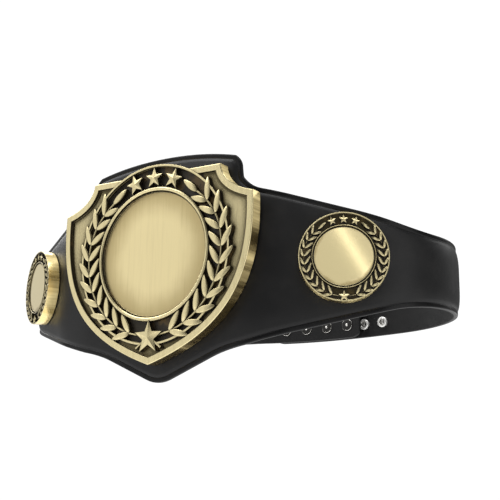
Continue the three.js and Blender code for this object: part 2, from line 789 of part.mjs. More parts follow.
// A slab between shield outlines, each with its inset and level. The outline isn't convex, so the caps are cut
// into triangles by the outline itself.
function shieldSlab(layers) {
  const rows = layers.map(({ inset, level }) => shieldLayer(inset, level));
  const count = rows[0].length;
  const positions = rows.flat().flatMap((point) => [point.x, point.y, point.z]);
  const index = [];
  for (let row = 0; row + 1 < rows.length; row += 1) {
    for (let step = 0; step < count; step += 1) {
      const a = row * count + step;
      const b = row * count + (step + 1) % count;
      index.push(a, b, b + count, a, b + count, a + count);
    }
  }
  const last = (rows.length - 1) * count;
  const flat = (row) => row.map((point) => new THREE.Vector2(point.x, point.y));
  for (const [a, b, c] of THREE.ShapeUtils.triangulateShape(flat(rows[0]), [])) index.push(a, c, b);
  for (const [a, b, c] of THREE.ShapeUtils.triangulateShape(flat(rows.at(-1)), [])) index.push(last + a, last + b, last + c);
  const geometry = new THREE.BufferGeometry();
  geometry.setAttribute('position', new THREE.Float32BufferAttribute(positions, 3));
  geometry.setIndex(index);
  return geometry;
}

function buildShield() {
  const slab = toSolid(shieldSlab([{ inset: 0, level: -shieldThickness }, { inset: 0, level: 0 }]));
  const spare = 1;
  const pocket = toSolid(shieldSlab([
    { inset: shieldRimWidth + shieldCoveWidth, level: -shieldFieldDepth },
    { inset: shieldRimWidth + draft, level: shieldCoveFoot - shieldFieldDepth },
    { inset: shieldRimWidth, level: spare },
  ]));
  const wellRadius = shieldBand.outerRadius - shieldBand.ringWidth / 2;
  const well = toSolid(turned([
    [0, -shieldBand.floorDepth], [wellRadius, -shieldBand.floorDepth], [wellRadius, spare], [0, spare],
  ], shieldBand.segments));
  const band = toSolid(bandBody(shieldBand, shieldThickness));
  let plate = slab.subtract(pocket).subtract(well).add(band);
  for (const body of wreathBodies(shieldBand, wreathRelief, starSizes)) plate = plate.add(body);
  const mesh = makeMesh('shield_plate', toGeometry(plate), materials.brass);
  mesh.rotation.x = Math.PI / 2;
  return mesh;
}

function buildMedal(name, side) {
  let medal = toSolid(bandBody(medalBand, medalThickness));
  for (const body of wreathBodies(medalBand, medalRelief, medalStarSizes)) medal = medal.add(body);
  const mesh = makeMesh(name, toGeometry(medal), materials.brass);
  const at = planAt(side * medalPlace);
  const facing = Math.atan2(-at.inward.x, at.inward.y);
  mesh.rotation.set(Math.PI / 2, 0, 0);
  const stand = new THREE.Group();
  stand.add(mesh);
  stand.rotation.z = facing;
  const lift = medalThickness + seatGap;
  stand.position.set(at.x - at.inward.x * lift, at.y - at.inward.y * lift, medalHeight);
  return stand;
}

// The origin is the middle of the open waist, halfway up the strap's sides.
const frontInside = shieldThickness + seatGap + strapThickness;
const backInside = planAt(halfLoop).y - strapThickness - innerLayerShift;
const waistCentre = new THREE.Vector3(0, (frontInside + backInside) / 2, taperMiddle);

const belt = new THREE.Group();
belt.position.copy(waistCentre).negate();
belt.add(buildStrap());
belt.add(buildShield());
belt.add(buildMedal('medal_left', -1));
belt.add(buildMedal('medal_right', 1));
for (const place of studPlaces) belt.add(buildStud(place));
for (const place of socketPlaces) belt.add(buildSocket(place));
for (const place of shieldScrewPlaces.concat(medalScrewPlaces)) belt.add(buildScrew(place));

const part = new THREE.Group();
part.add(belt);

export default part;
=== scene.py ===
# %% [markdown]
# # A championship title belt
# The real belt is a padded black leather strap snapped closed round an open waist. A cast shield with a
# laurel wreath sits on its front and a round cast medal on each side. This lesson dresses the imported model
# of that belt: each piece is built finer here, in the same place and at the same size.

import json
import math
from contextlib import contextmanager
from types import SimpleNamespace as Sizes

import bmesh
import bpy
import numpy as np
from mathutils import Matrix, Vector


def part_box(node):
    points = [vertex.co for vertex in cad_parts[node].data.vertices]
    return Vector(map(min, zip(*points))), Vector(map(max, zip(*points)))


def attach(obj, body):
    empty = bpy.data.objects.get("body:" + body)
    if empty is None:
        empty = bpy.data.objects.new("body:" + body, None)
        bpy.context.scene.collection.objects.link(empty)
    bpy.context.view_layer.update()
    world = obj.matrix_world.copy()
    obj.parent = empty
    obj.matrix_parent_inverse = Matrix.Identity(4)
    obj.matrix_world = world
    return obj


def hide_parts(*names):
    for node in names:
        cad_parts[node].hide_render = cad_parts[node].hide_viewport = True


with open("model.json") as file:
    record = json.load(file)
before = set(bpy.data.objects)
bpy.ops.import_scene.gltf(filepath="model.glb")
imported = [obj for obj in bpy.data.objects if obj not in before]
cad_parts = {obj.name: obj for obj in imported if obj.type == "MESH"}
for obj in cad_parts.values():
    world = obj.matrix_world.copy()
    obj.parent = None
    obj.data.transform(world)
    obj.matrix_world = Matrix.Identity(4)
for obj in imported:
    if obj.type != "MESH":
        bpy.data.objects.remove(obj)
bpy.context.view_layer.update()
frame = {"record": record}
scene = bpy.context.scene
MM = 0.001
mounts = {mount["name"]: mount for mount in frame["record"]["mounts"]}

# %% [markdown]
# ## Where the belt's parts lie
# The scene could repeat every number of the model, but then a moved part would leave its dress behind. So
# the main places are read from the model: the middle of the shield's disc and the back of the shield.
# Drawn sizes are in millimetres, and a mesh is scaled to metres when it is made.

# %% Main places
disc_centre = Vector(mounts["shield_disc"]["pos_m"])
SEAT_GAP = 0.3  # between a seated piece and the leather
strap_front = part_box("shield_plate")[1].y / MM + SEAT_GAP
level = disc_centre.z / MM
print("disc centre", tuple(round(v, 4) for v in disc_centre), "strap front at", round(strap_front, 2), "mm")

# %% [markdown]
# ## Camera
# The photograph looks slightly up at the belt, from the front and the belt's right. A camera can be aimed
# by a constraint, but a solved view also has a small roll, so its three axes are worked out here from two
# angles and the roll, and put straight into its matrix.

# %% Camera from the photograph's angles
CAMERA_FROM_DISC = Vector((480.8, -614.7, -161.9)) * MM
CAMERA_AZIMUTH = math.radians(31.58)
CAMERA_ELEVATION = math.radians(-12.14)
CAMERA_ROLL = math.radians(0.87)
FOCAL_PIXELS = 869.6
FRAME_PIXELS = 500
SENSOR_WIDTH = 36
VIEW_END = 100

back = Vector((
    math.sin(CAMERA_AZIMUTH) * math.cos(CAMERA_ELEVATION),
    -math.cos(CAMERA_AZIMUTH) * math.cos(CAMERA_ELEVATION),
    math.sin(CAMERA_ELEVATION),
))
level_right = Vector((math.cos(CAMERA_AZIMUTH), math.sin(CAMERA_AZIMUTH), 0))
level_up = back.cross(level_right)
right = level_right * math.cos(CAMERA_ROLL) + level_up * math.sin(CAMERA_ROLL)
up = level_up * math.cos(CAMERA_ROLL) - level_right * math.sin(CAMERA_ROLL)

camera_data = bpy.data.cameras.new("photo_camera")
camera_data.sensor_width = SENSOR_WIDTH
camera_data.sensor_fit = "HORIZONTAL"
camera_data.lens = FOCAL_PIXELS / FRAME_PIXELS * SENSOR_WIDTH
camera_data.clip_end = VIEW_END
camera = bpy.data.objects.new("photo_camera", camera_data)
scene.collection.objects.link(camera)
camera_turn = Matrix((right, up, back)).transposed().to_4x4()
camera.matrix_world = Matrix.Translation(disc_centre + CAMERA_FROM_DISC) @ camera_turn
scene.camera = camera
print("lens", round(camera_data.lens, 2), "mm")

# %% [markdown]
# ## Shader sums
# A finish is a small sum of masks and noises. Dropping and wiring Math nodes one by one hides that sum, so
# one class wraps a socket and lets Python's own signs add the nodes. Every other kind of node comes from
# one method.

# %% A socket that can be added and multiplied
class Signal:
    def __init__(self, finish, socket):
        self.finish = finish
        self.socket = socket

    def sum(self, operation, first, second):
        return self.finish.node("ShaderNodeMath", {"operation": operation}, {0: first, 1: second}, "Value")

    def __add__(self, other):
        return self.sum("ADD", self, other)

    __radd__ = __add__

    def __sub__(self, other):
        return self.sum("SUBTRACT", self, other)

    def __rsub__(self, other):
        return self.sum("SUBTRACT", other, self)

    def __mul__(self, other):
        return self.sum("MULTIPLY", self, other)

    __rmul__ = __mul__

    def ramp(self, low, high, to_low=0.0, to_high=1.0):
        settings = {"interpolation_type": "SMOOTHSTEP"}
        inputs = {"Value": self, "From Min": low, "From Max": high, "To Min": to_low, "To Max": to_high}
        return self.finish.node("ShaderNodeMapRange", settings, inputs, "Result")


class Finish:
    def __init__(self, name, kind=bpy.data.materials):
        self.owner = kind.new(name)
        self.owner.use_nodes = True
        self.tree = self.owner.node_tree
        self.tree.nodes.clear()

    def node(self, kind, settings, inputs, output):
        made = self.tree.nodes.new(kind)
        for name, value in settings.items():
            setattr(made, name, value)
        for name, value in inputs.items():
            if isinstance(value, Signal):
                self.tree.links.new(value.socket, made.inputs[name])
            else:
                made.inputs[name].default_value = value
        return Signal(self, made.outputs[output]) if output is not None else None

    def mix(self, mask, first, second):
        return self.node("ShaderNodeMix", {"data_type": "RGBA"}, {0: mask, 6: first, 7: second}, 2)

    def part(self, source, axis):
        spot = self.node("ShaderNodeTexCoord", {}, {}, source)
        return self.node("ShaderNodeSeparateXYZ", {}, {"Vector": spot}, axis)

    def place(self, stretch=(1, 1, 1)):
        spot = self.node("ShaderNodeTexCoord", {}, {}, "Object")
        return self.node("ShaderNodeMapping", {}, {"Vector": spot, "Scale": stretch}, "Vector")

    def noise(self, scale, detail=3.0, roughness=0.5, stretch=(1, 1, 1)):
        inputs = {"Vector": self.place(stretch), "Scale": scale, "Detail": detail, "Roughness": roughness}
        return self.node("ShaderNodeTexNoise", {}, inputs, "Fac")

    def bump(self, height, strength, distance):
        inputs = {"Height": height, "Strength": strength, "Distance": distance}
        return self.node("ShaderNodeBump", {}, inputs, "Normal")

    def surface(self, **inputs):
        named = {name.replace("_", " "): value for name, value in inputs.items()}
        shader = self.node("ShaderNodeBsdfPrincipled", {}, named, "BSDF")
        self.node("ShaderNodeOutputMaterial", {}, {"Surface": shader}, None)
        return self.owner


print("shader helper ready")

# %% [markdown]
# ## Leather
# The strap is smooth black leather with a satin finish: almost no colour of its own, a fine grain that only
# breaks up the shine, and gloss that wanders a little. One flat grey would read as plastic, so the grain is
# a small bump from a cell pattern and the roughness follows a slow noise. The border is pressed and
# burnished, so it is smoother than the padding. The cut edges carry smooth edge paint, and the lining
# inside is duller.

# %% Leather finishes
LEATHER_BLACK = (0.0026, 0.0026, 0.0028, 1)
LEATHER_WORN = (0.0052, 0.0050, 0.0049, 1)
CELL_SCALE = 1500.0
PORE_SCALE = 5200.0
CLOUD_SCALE = 38.0
GRAIN_HEIGHT = 0.00012
LEATHER_LOOKS = [  # name, roughness, grain strength and shine
    ("leather_satin_black", 0.40, 0.35, 0.26),
    ("leather_lining_black", 0.55, 0.5, 0.26),
    ("leather_edge_paint", 0.34, 0.08, 0.07),
    ("leather_rolled_border", 0.26, 0.15, 0.17),
]
FACE, LINING, EDGE, BORDER = range(len(LEATHER_LOOKS))


def leather_finish(name, roughness, grain_strength, shine):
    finish = Finish(name)
    inputs = {"Vector": finish.place(), "Scale": CELL_SCALE}
    cells = finish.node("ShaderNodeTexVoronoi", {"feature": "F1"}, inputs, "Distance")
    cloudy = finish.noise(CLOUD_SCALE, 4.0, 0.6)
    grain = cells * 0.7 + finish.noise(PORE_SCALE, 2.0) * 0.5
    return finish.surface(
        Base_Color=finish.mix(cloudy.ramp(0.42, 0.75), LEATHER_BLACK, LEATHER_WORN),
        Roughness=cloudy * 0.12 + (roughness - 0.06) + cells * 0.05,
        Specular_IOR_Level=shine,
        Normal=finish.bump(grain, grain_strength, GRAIN_HEIGHT),
    )


strap_finishes = [leather_finish(*look) for look in LEATHER_LOOKS]
print(len(strap_finishes), "leather finishes")

# %% [markdown]
# ## Antique brass
# The shield and medals are cast, plated, stained dark and then buffed: the high places shine like pale
# brass and every recess keeps brown-black stain. Where the stain stays depends on the shape, so the mask
# comes from how enclosed a point is, which an Ambient Occlusion node gives, and from how deep it lies below
# the rim's face. Each plate's own Z points out of its face, so Object coordinates give that depth. Steep
# walls and the field near its walls are darkened further, partly as stain and partly as painted shade. The
# outer walls are polished and mirror the room. The strap stands where a light for them would, so their
# bright and dark bands are painted reflections.

# %% Brass finishes
BRASS_BRIGHT = (0.80, 0.68, 0.375, 1)
BRASS_CAST = (0.74, 0.64, 0.365, 1)
BRASS_SATIN = (0.52, 0.435, 0.235, 1)
BRASS_SHADE = (0.095, 0.078, 0.040, 1)
BRASS_STAIN = (0.010, 0.007, 0.004, 1)
BRASS_STAIN_WARM = (0.075, 0.046, 0.014, 1)
BRASS_STREAK = (0.42, 0.33, 0.155, 1)
WALL_PAINTED_REFLECTION = (0.98, 0.81, 0.40, 1)
WALL_DARK = (0.36, 0.26, 0.10, 1)
WALL_GOLD = (0.60, 0.43, 0.14, 1)
OPEN_SAMPLES = 12
WIDE_REACH = 5
WALL_STAIN_AND_SHADE = 0.75
ACROSS_WALL = (1, 1, 0.02)


def enclosure(finish, distance):
    """1 in the open, less where other faces of the piece stand within the distance."""
    settings = {"samples": OPEN_SAMPLES, "only_local": True}
    return finish.node("ShaderNodeAmbientOcclusion", settings, {"Distance": distance}, "AO")


def cast_brass(name, reach, floor_from, floor_to, floor_stain):
    """Cast and buffed: black stain in tight places and on the band's floor; steep walls darker and wider
    hollows browner, partly stain and partly painted shade.
    """
    finish = Finish(name)
    tight = enclosure(finish, reach).ramp(0.5, 0.9)
    # wide: browner near walls, partly stain and partly painted shade
    wide = enclosure(finish, reach * WIDE_REACH).ramp(0.86, 1.0)
    depth = 0.0 - finish.part("Object", "Z")
    floor = depth.ramp(floor_from, floor_to)
    # wall: steep faces below the rim's face are darkened, partly stain and partly painted shade
    wall = (1.0 - finish.part("Normal", "Z").ramp(0.25, 0.6)) * depth.ramp(0.0, 0.0006)
    brushed = finish.noise(320.0, 4.0, 0.6, (1, 0.12, 1))
    patches = finish.noise(70.0, 3.0, 0.6).ramp(0.5, 0.68)
    bright = tight * (1.0 - floor * floor_stain) * (1.0 - wall * WALL_STAIN_AND_SHADE)
    buffed = finish.mix(brushed.ramp(0.4, 0.8) * 0.5, BRASS_CAST, BRASS_SATIN)
    toned = finish.mix(wide, BRASS_SHADE, buffed)
    stain = finish.mix(patches, BRASS_STAIN, BRASS_STAIN_WARM)
    return finish.surface(
        Base_Color=finish.mix(bright, stain, toned),
        Metallic=bright.ramp(0.0, 0.4, 0.35, 1.0),
        Roughness=bright * -0.24 + 0.46 + brushed * 0.06,
        Normal=finish.bump(brushed, 0.08, 0.0001),
    )


def brass_with_painted_reflection(name, dark, painted_reflection_from, painted_reflection_to, rise):
    """A polished wall with painted reflection: bright and dark bands across it, and painted light that rises
    towards the plate's top.
    """
    finish = Finish(name)
    # Painted reflection: the bands and the brightening towards the top stand in for the mirrored room
    bands = finish.noise(30.0, 2.0, 0.5, ACROSS_WALL)
    fine_bands = finish.noise(420.0, 2.0, 0.5, ACROSS_WALL)
    glow = (bands * 0.85 + fine_bands * 0.15 + finish.part("Object", "Y") * rise).ramp(painted_reflection_from, painted_reflection_to)
    return finish.surface(
        Base_Color=finish.mix(glow, dark, WALL_PAINTED_REFLECTION),
        Metallic=0.95 - glow * 0.6,
        Roughness=fine_bands * 0.12 + 0.12,
        Normal=finish.bump(fine_bands, 0.22, 0.0004),
    )


def brushed_brass(name, radius, stain_and_shade_width, streaks, roughness, grain):
    """A flat disc, brushed up and down, darker towards its edge, partly stain and partly painted shade. The
    disc's middle is the plate's origin.
    """
    finish = Finish(name)
    spot = finish.node("ShaderNodeTexCoord", {}, {}, "Object")
    from_middle = finish.node("ShaderNodeVectorMath", {"operation": "LENGTH"}, {0: spot}, "Value")
    lines = finish.noise(1100.0, 4.0, 0.65, (1, 0.02, 1))
    wide_lines = finish.noise(170.0, 3.0, 0.6, (1, 0.07, 1))
    cloudy = finish.noise(24.0, 3.0, 0.55)
    # Darker towards the disc's edge: partly stain, partly painted shade under the bead
    edge = (from_middle + (cloudy - 0.5) * 0.014).ramp(radius - stain_and_shade_width, radius + 0.001)
    streak = (lines * 0.6 + wide_lines * 0.4).ramp(0.44, 0.74) * (edge * 0.7 + 0.3) * streaks
    toned = finish.mix(streak, BRASS_BRIGHT, BRASS_STREAK)
    return finish.surface(
        Base_Color=finish.mix(edge * 0.8, toned, BRASS_STREAK),
        Metallic=1.0,
        Roughness=lines * grain + edge * 0.10 + roughness,
        Normal=finish.bump(lines, grain * 0.8, 0.0001),
    )


shield_finishes = [
    cast_brass("brass_cast_shield", reach=0.0030, floor_from=0.0032, floor_to=0.0040, floor_stain=0.87),
    brass_with_painted_reflection("brass_shield_wall_painted_reflection", WALL_DARK, painted_reflection_from=0.44, painted_reflection_to=0.70, rise=1.6),
    brushed_brass("brass_brushed_shield_disc", radius=0.0574, stain_and_shade_width=0.026, streaks=0.55, roughness=0.26,
                  grain=0.10),
]
medal_finishes = [
    cast_brass("brass_cast_medal", reach=0.0018, floor_from=0.0013, floor_to=0.0020, floor_stain=0.6),
    brass_with_painted_reflection("brass_medal_wall_painted_reflection", WALL_GOLD, painted_reflection_from=0.36, painted_reflection_to=0.62, rise=0),
    brushed_brass("brass_plain_medal_disc", radius=0.0246, stain_and_shade_width=0.0018, streaks=0.05, roughness=0.07,
                  grain=0.01),
]
CAST, WALL, DISC = range(3)
print(len(shield_finishes + medal_finishes), "brass finishes")

# %% [markdown]
# ## Snap and screw metals
# The snaps on the inner end are black enamelled caps with a bright rolled rim, and those on the outer end
# are bright chromed sockets with a wire spring. The screws behind the plates are plain steel. Small parts
# still need fine scratches and painted shade inside, or they look printed on.

# %% Small metals
def small_metal(name, colour, roughness, metallic):
    finish = Finish(name)
    # Painted shade: the colour goes dark where other faces of the piece stand close
    clear_of_painted_shade = enclosure(finish, 0.0015).ramp(0.2, 0.8)
    scratches = finish.noise(2500.0, 3.0, 0.6)
    dark = tuple(0.15 * channel for channel in colour[:3]) + (1,)
    return finish.surface(
        Base_Color=finish.mix(clear_of_painted_shade, dark, colour),
        Metallic=metallic,
        Roughness=scratches * 0.14 + roughness,
        Normal=finish.bump(scratches, 0.08, 0.00003),
    )


snap_finishes = [
    small_metal("snap_black_enamel", (0.012, 0.011, 0.010, 1), roughness=0.28, metallic=0.0),
    small_metal("snap_bright_nickel", (0.78, 0.76, 0.72, 1), roughness=0.12, metallic=1.0),
    small_metal("snap_chrome", (0.84, 0.83, 0.80, 1), roughness=0.2, metallic=0.62),
]
ENAMEL, NICKEL, CHROME = range(len(snap_finishes))
screw_steel = small_metal("screw_steel", (0.50, 0.50, 0.50, 1), roughness=0.26, metallic=1.0)
print("snap and screw metals")

# %% [markdown]
# ## Meshes from rings
# Every piece of the belt is a row of closed rings with a cap at each end: a leaf, a stem, a turned ring,
# even the strap. A modifier stack could round a rough block into them, but rings put each edge where the
# real one is. So one function skins rings, one rounds the corners of an outline, and one makes the object.

# %% Rings, rounded outlines and objects
ROUNDING_SHARE = 0.45
AXIS_GAP = 0.001


def skin(rings):
    """Points and faces of a skin over rings of equally many points, with a cap at each end."""
    count = len(rings[0])
    points = [tuple(point) for ring in rings for point in ring]
    faces = []
    for ring in range(len(rings) - 1):
        for step in range(count):
            a = ring * count + step
            b = ring * count + (step + 1) % count
            faces.append((a, b, b + count, a + count))
    last = (len(rings) - 1) * count
    faces.append(tuple(range(count - 1, -1, -1)))
    faces.append(tuple(range(last, last + count)))
    return points, faces


def rounded(points, radius, steps=4):
    """An open outline with its inner corners rounded, as far as its sides allow."""
    points = [np.array(point, float) for point in points]
    smooth = [points[0]]
    for before, corner, after in zip(points, points[1:], points[2:]):
        arriving, leaving = corner - before, after - corner
        in_length, out_length = np.linalg.norm(arriving), np.linalg.norm(leaving)
        reach = min(radius, ROUNDING_SHARE * in_length, ROUNDING_SHARE * out_length)
        start = corner - arriving / in_length * reach
        end = corner + leaving / out_length * reach
        for step in range(steps + 1):
            t = step / steps
            smooth.append((1 - t) ** 2 * start + 2 * t * (1 - t) * corner + t ** 2 * end)
    smooth.append(points[-1])
    return smooth


def turned(profile, segments):
    """Rings round the Z axis for an outline of radius and height points. None lies on the axis itself."""
    angles = [math.tau * step / segments for step in range(segments)]
    profile = [(max(radius, AXIS_GAP), height) for radius, height in profile]
    return [
        [(radius * math.cos(angle), radius * math.sin(angle), height) for angle in angles]
        for radius, height in profile
    ]


def set_finishes(made, finishes):
    made.data.materials.clear()
    for finish in finishes:
        made.data.materials.append(finish)


def make_object(name, points, faces, finishes, matrix=Matrix.Identity(4)):
    mesh = bpy.data.meshes.new(name)
    mesh.from_pydata([tuple(MM * value for value in point) for point in points], [], faces)
    made = bpy.data.objects.new(name, mesh)
    set_finishes(made, finishes)
    made.matrix_world = matrix
    scene.collection.objects.link(made)
    return made


@contextmanager
def editing(mesh):
    """The mesh opened for editing, and written back at the end."""
    work = bmesh.new()
    work.from_mesh(mesh)
    yield work
    work.to_mesh(mesh)
    work.free()


def face_outward(made):
    with editing(made.data) as work:
        bmesh.ops.recalc_face_normals(work, faces=work.faces)


def shade(made, angle):
    """Smooth shading that breaks where two faces meet at more than the angle."""
    with editing(made.data) as work:
        for edge in work.edges:
            edge.smooth = edge.is_manifold and edge.calc_face_angle(0) < math.radians(angle)
        for face in work.faces:
            face.smooth = True
    weighted = made.modifiers.new("even_shading", "WEIGHTED_NORMAL")
    weighted.keep_sharp = True


def seat_matrix(origin, out):
    """Seats a piece drawn with its Y up and its Z pointing out."""
    up = Vector((0, 0, 1))
    turn = Matrix((up.cross(out), up, out)).transposed().to_4x4()
    return Matrix.Translation(origin) @ turn


def finish_piece(made, slot, *replaced):
    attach(made, "root")
    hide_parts(*replaced)
    return made


print("mesh helpers ready")

# %% [markdown]
# ## The strap's plan
# Seen from above, the padded face is a smooth closed line of straights and arcs: flat behind the shield,
# bent at the shield's sides, flat behind each medal, and round to the back. Leather bends without
# stretching, so the strap is drawn flat, as distance along the line and height, and then wrapped onto the
# plan.

# %% Wrap a flat pattern onto the plan
STRAP_THICKNESS = 6.5
PLAN_TABLE = [  # straight length, or arc radius with its turn in degrees
    {"length": 83.4, "turn": 0},
    {"radius": 109.7, "turn": 27.9},
    {"length": 52.8, "turn": 0},
    {"radius": 99.5, "turn": 67.1},
    {"radius": 119.7, "turn": 72.3},
]
plan_runs = []
x, y, heading, along = 0.0, strap_front, 0.0, 0.0


def add_run(length, turn):
    """Adds one straight or arc to the plan and moves its end on."""
    global x, y, heading, along
    plan_runs.append((along, x, y, heading, turn / length))
    if turn:
        radius = length / turn
        x += radius * (math.sin(heading + turn) - math.sin(heading))
        y += radius * (math.cos(heading) - math.cos(heading + turn))
    else:
        x += length * math.cos(heading)
        y += length * math.sin(heading)
    heading += turn
    along += length


for run in PLAN_TABLE:
    turn = math.radians(run["turn"])
    add_run(run["length"] if "length" in run else run["radius"] * turn, turn)
closing_turn = math.pi - heading
add_run(x / math.sin(heading) * closing_turn, closing_turn)
half_loop = along
run_table = np.array(plan_runs)


def wrap(distance, inset, height):
    """Points of the pattern on the real strap. Past the middle of the back the other side's plan goes on."""
    distance = np.asarray(distance, float)
    past = np.abs(distance) > half_loop
    side = np.where((distance < 0) == past, 1.0, -1.0)
    half = np.where(past, 2 * half_loop - np.abs(distance), np.abs(distance))
    number = np.clip(np.searchsorted(run_table[:, 0], half, "right") - 1, 0, None)
    start, x0, y0, h0, curve = run_table[number].T
    local = half - start
    heading = h0 + curve * local
    bent = np.abs(curve) > 1e-9
    safe = np.where(bent, curve, 1.0)
    x = x0 + np.where(bent, (np.sin(heading) - np.sin(h0)) / safe, local * np.cos(h0))
    y = y0 + np.where(bent, (np.cos(h0) - np.cos(heading)) / safe, local * np.sin(h0))
    return np.stack([
        side * (x - np.sin(heading) * inset),
        y + np.cos(heading) * inset,
        np.broadcast_to(height, x.shape),
    ], -1)


print("closed loop", round(2 * half_loop), "mm")

# %% [markdown]
# ## The strap's outline
# The front of the strap is a tab that follows the shield, with a waisted step down to the strap's long
# taper, and below it a soft point. The outline is a few lines and bends from named sizes. Near each edge
# the two leathers are pinched together, and behind that border the padding swells, so the depth of the face
# is a function of the distance to the outline.

# %% The outline as two edges
STRAP_TOP = 15.2
STRAP_BOTTOM = -49.5
REAR_DROOP = 7
DROOP_START = 330  # along the strap from the middle of the front
TAB = Sizes(top=94.7, half_width=84.9, corner_drop=8.9, corner=6.8, corner_fall=5.3, lean=1, foot_lean=9.4,
            waist_height=65, fillet=10.3)
TAPER = Sizes(slope=0.255, round=24, lower_slope=0.23, lower_lead=4)
POINT = Sizes(bottom=-115.6, round=14, rise=3.1, flank_end=56, flank_drop=9.2, bend_place=70, bend_drop=3.2,
              shoulder=89)
INNER_END = half_loop + 96.7
OUTER_END = half_loop + 20.5
END_CORNER = 12
END_CORNER_DROP = 7.2


def ease(value, first, last):
    """0 up to first, 1 from last on, and a smooth step between them."""
    t = np.clip((value - first) / (last - first), 0, 1)
    return t * t * (3 - 2 * t)


def bend(start, control, end, steps=24):
    """A bend from start to end, pulled towards the control point."""
    t = np.linspace(0, 1, steps + 1)[:, None]
    return (1 - t) ** 2 * np.array(start) + 2 * t * (1 - t) * np.array(control) + t ** 2 * np.array(end)


def join_runs(*runs):
    """One line through points and bends, without doubled points."""
    line = np.vstack([np.atleast_2d(run) for run in runs])
    keep = np.append(True, np.linalg.norm(np.diff(line, axis=0), axis=1) > 1e-6)
    return line[keep]


corner_height = TAB.top - TAB.corner_drop
corner_side = corner_height - TAB.corner_fall
corner_start = TAB.half_width - TAB.corner
foot = (TAB.half_width + TAB.foot_lean, TAB.waist_height - TAB.fillet)
fillet_end = (foot[0] + TAB.fillet, foot[1] - TAB.fillet * TAPER.slope)
taper_end = foot[0] + (foot[1] - STRAP_TOP) / TAPER.slope
top_line = join_runs(
    bend((0, TAB.top), (TAB.half_width / 2, TAB.top), (corner_start, corner_height)),
    bend((corner_start, corner_height), (TAB.half_width, corner_side),
         (TAB.half_width, corner_side - TAB.corner)),
    bend((TAB.half_width + TAB.lean, TAB.waist_height), foot, fillet_end),
    bend((taper_end - TAPER.round, STRAP_TOP + TAPER.round * TAPER.slope), (taper_end, STRAP_TOP),
         (taper_end + TAPER.round, STRAP_TOP)),
    (2 * half_loop, STRAP_TOP),
)
lower_end = taper_end - TAPER.lower_lead
shoulder_height = STRAP_BOTTOM - (lower_end - POINT.shoulder) * TAPER.lower_slope
bottom_line = join_runs(
    bend((0, POINT.bottom), (POINT.round / 2, POINT.bottom),
         (POINT.round, POINT.bottom + POINT.rise)),
    bend((POINT.flank_end, shoulder_height - POINT.flank_drop),
         (POINT.bend_place, shoulder_height - POINT.bend_drop), (POINT.shoulder, shoulder_height)),
    bend((lower_end - TAPER.round, STRAP_BOTTOM - TAPER.round * TAPER.lower_slope), (lower_end, STRAP_BOTTOM),
         (lower_end + 2 * TAPER.round, STRAP_BOTTOM)),
    (2 * half_loop, STRAP_BOTTOM),
)


def droop(distance):
    """How far the strap sinks towards the back, the same on both of its overlapping ends."""
    from_front = np.minimum(np.abs(distance), 2 * half_loop - np.abs(distance))
    return REAR_DROOP * ease(from_front, DROOP_START, half_loop)


print("strap", round(INNER_END + OUTER_END), "mm long")

# %% [markdown]
# ## The strap's mesh
# Columns of points cross the strap from the top edge to the bottom edge. At the tab they follow the
# outline's own direction, so that the pinched border turns its corners evenly. Cloth simulation is a way to
# puff leather, but it blurs the crisp crease beside the border, and this padding is thin and even, so the
# swell is drawn directly.

# %% Columns across the strap
COLUMN_STEP = 3.0
TURN_DENSITY = 1.4
CORNER_STEPS = 12
BORDER_WIDTH = 4.1
BORDER_ROWS = [0, 0.25, 0.6, 1.1, 2.2, 3.4, 3.9, 4.3, 4.8, 5.6, 6.8, 8.0]
MIDDLE_ROWS = 14
FACE_DEPTH = [  # distance from the outline, and depth of the face below the full padding
    (0, 3.3), (0.25, 2.75), (0.6, 2.45), (1.1, 2.3), (3.4, 2.3), (3.9, 2.45), (4.3, 2.8), (4.8, 2.5),
    (5.6, 2.0), (6.8, 1.55), (8.0, 1.2), (10, 0.8), (13, 0.4), (17, 0.12), (22, 0),
]
LINING_DEPTH = [(0, 0.9), (0.25, 0.3), (0.6, 0.08), (1.1, 0)]
EDGE_RINGS = [(3.9, 0.10), (4.3, -0.08), (4.7, 0.10)]  # inset, and how far the painted edge stands out
LAYER_GAP = 4.0  # between the overlapping ends
LAYER_SHIFT = 60  # where the left side starts to move inward, before the outer end
LAYER_SHIFT_LEAD = 5
EDGE_BREAK = 60  # degrees between two faces that show an edge


def resample(line, count):
    """Evenly spaced points on a line."""
    steps = np.linalg.norm(np.diff(line, axis=0), axis=1)
    lengths = np.append(0, np.cumsum(steps))
    wanted = np.linspace(0, lengths[-1], count)
    return np.stack([np.interp(wanted, lengths, line[:, axis]) for axis in (0, 1)], -1)


def directions(line):
    """The line's direction at each of its points."""
    along = np.gradient(line, axis=0)
    return along / np.linalg.norm(along, axis=1, keepdims=True)


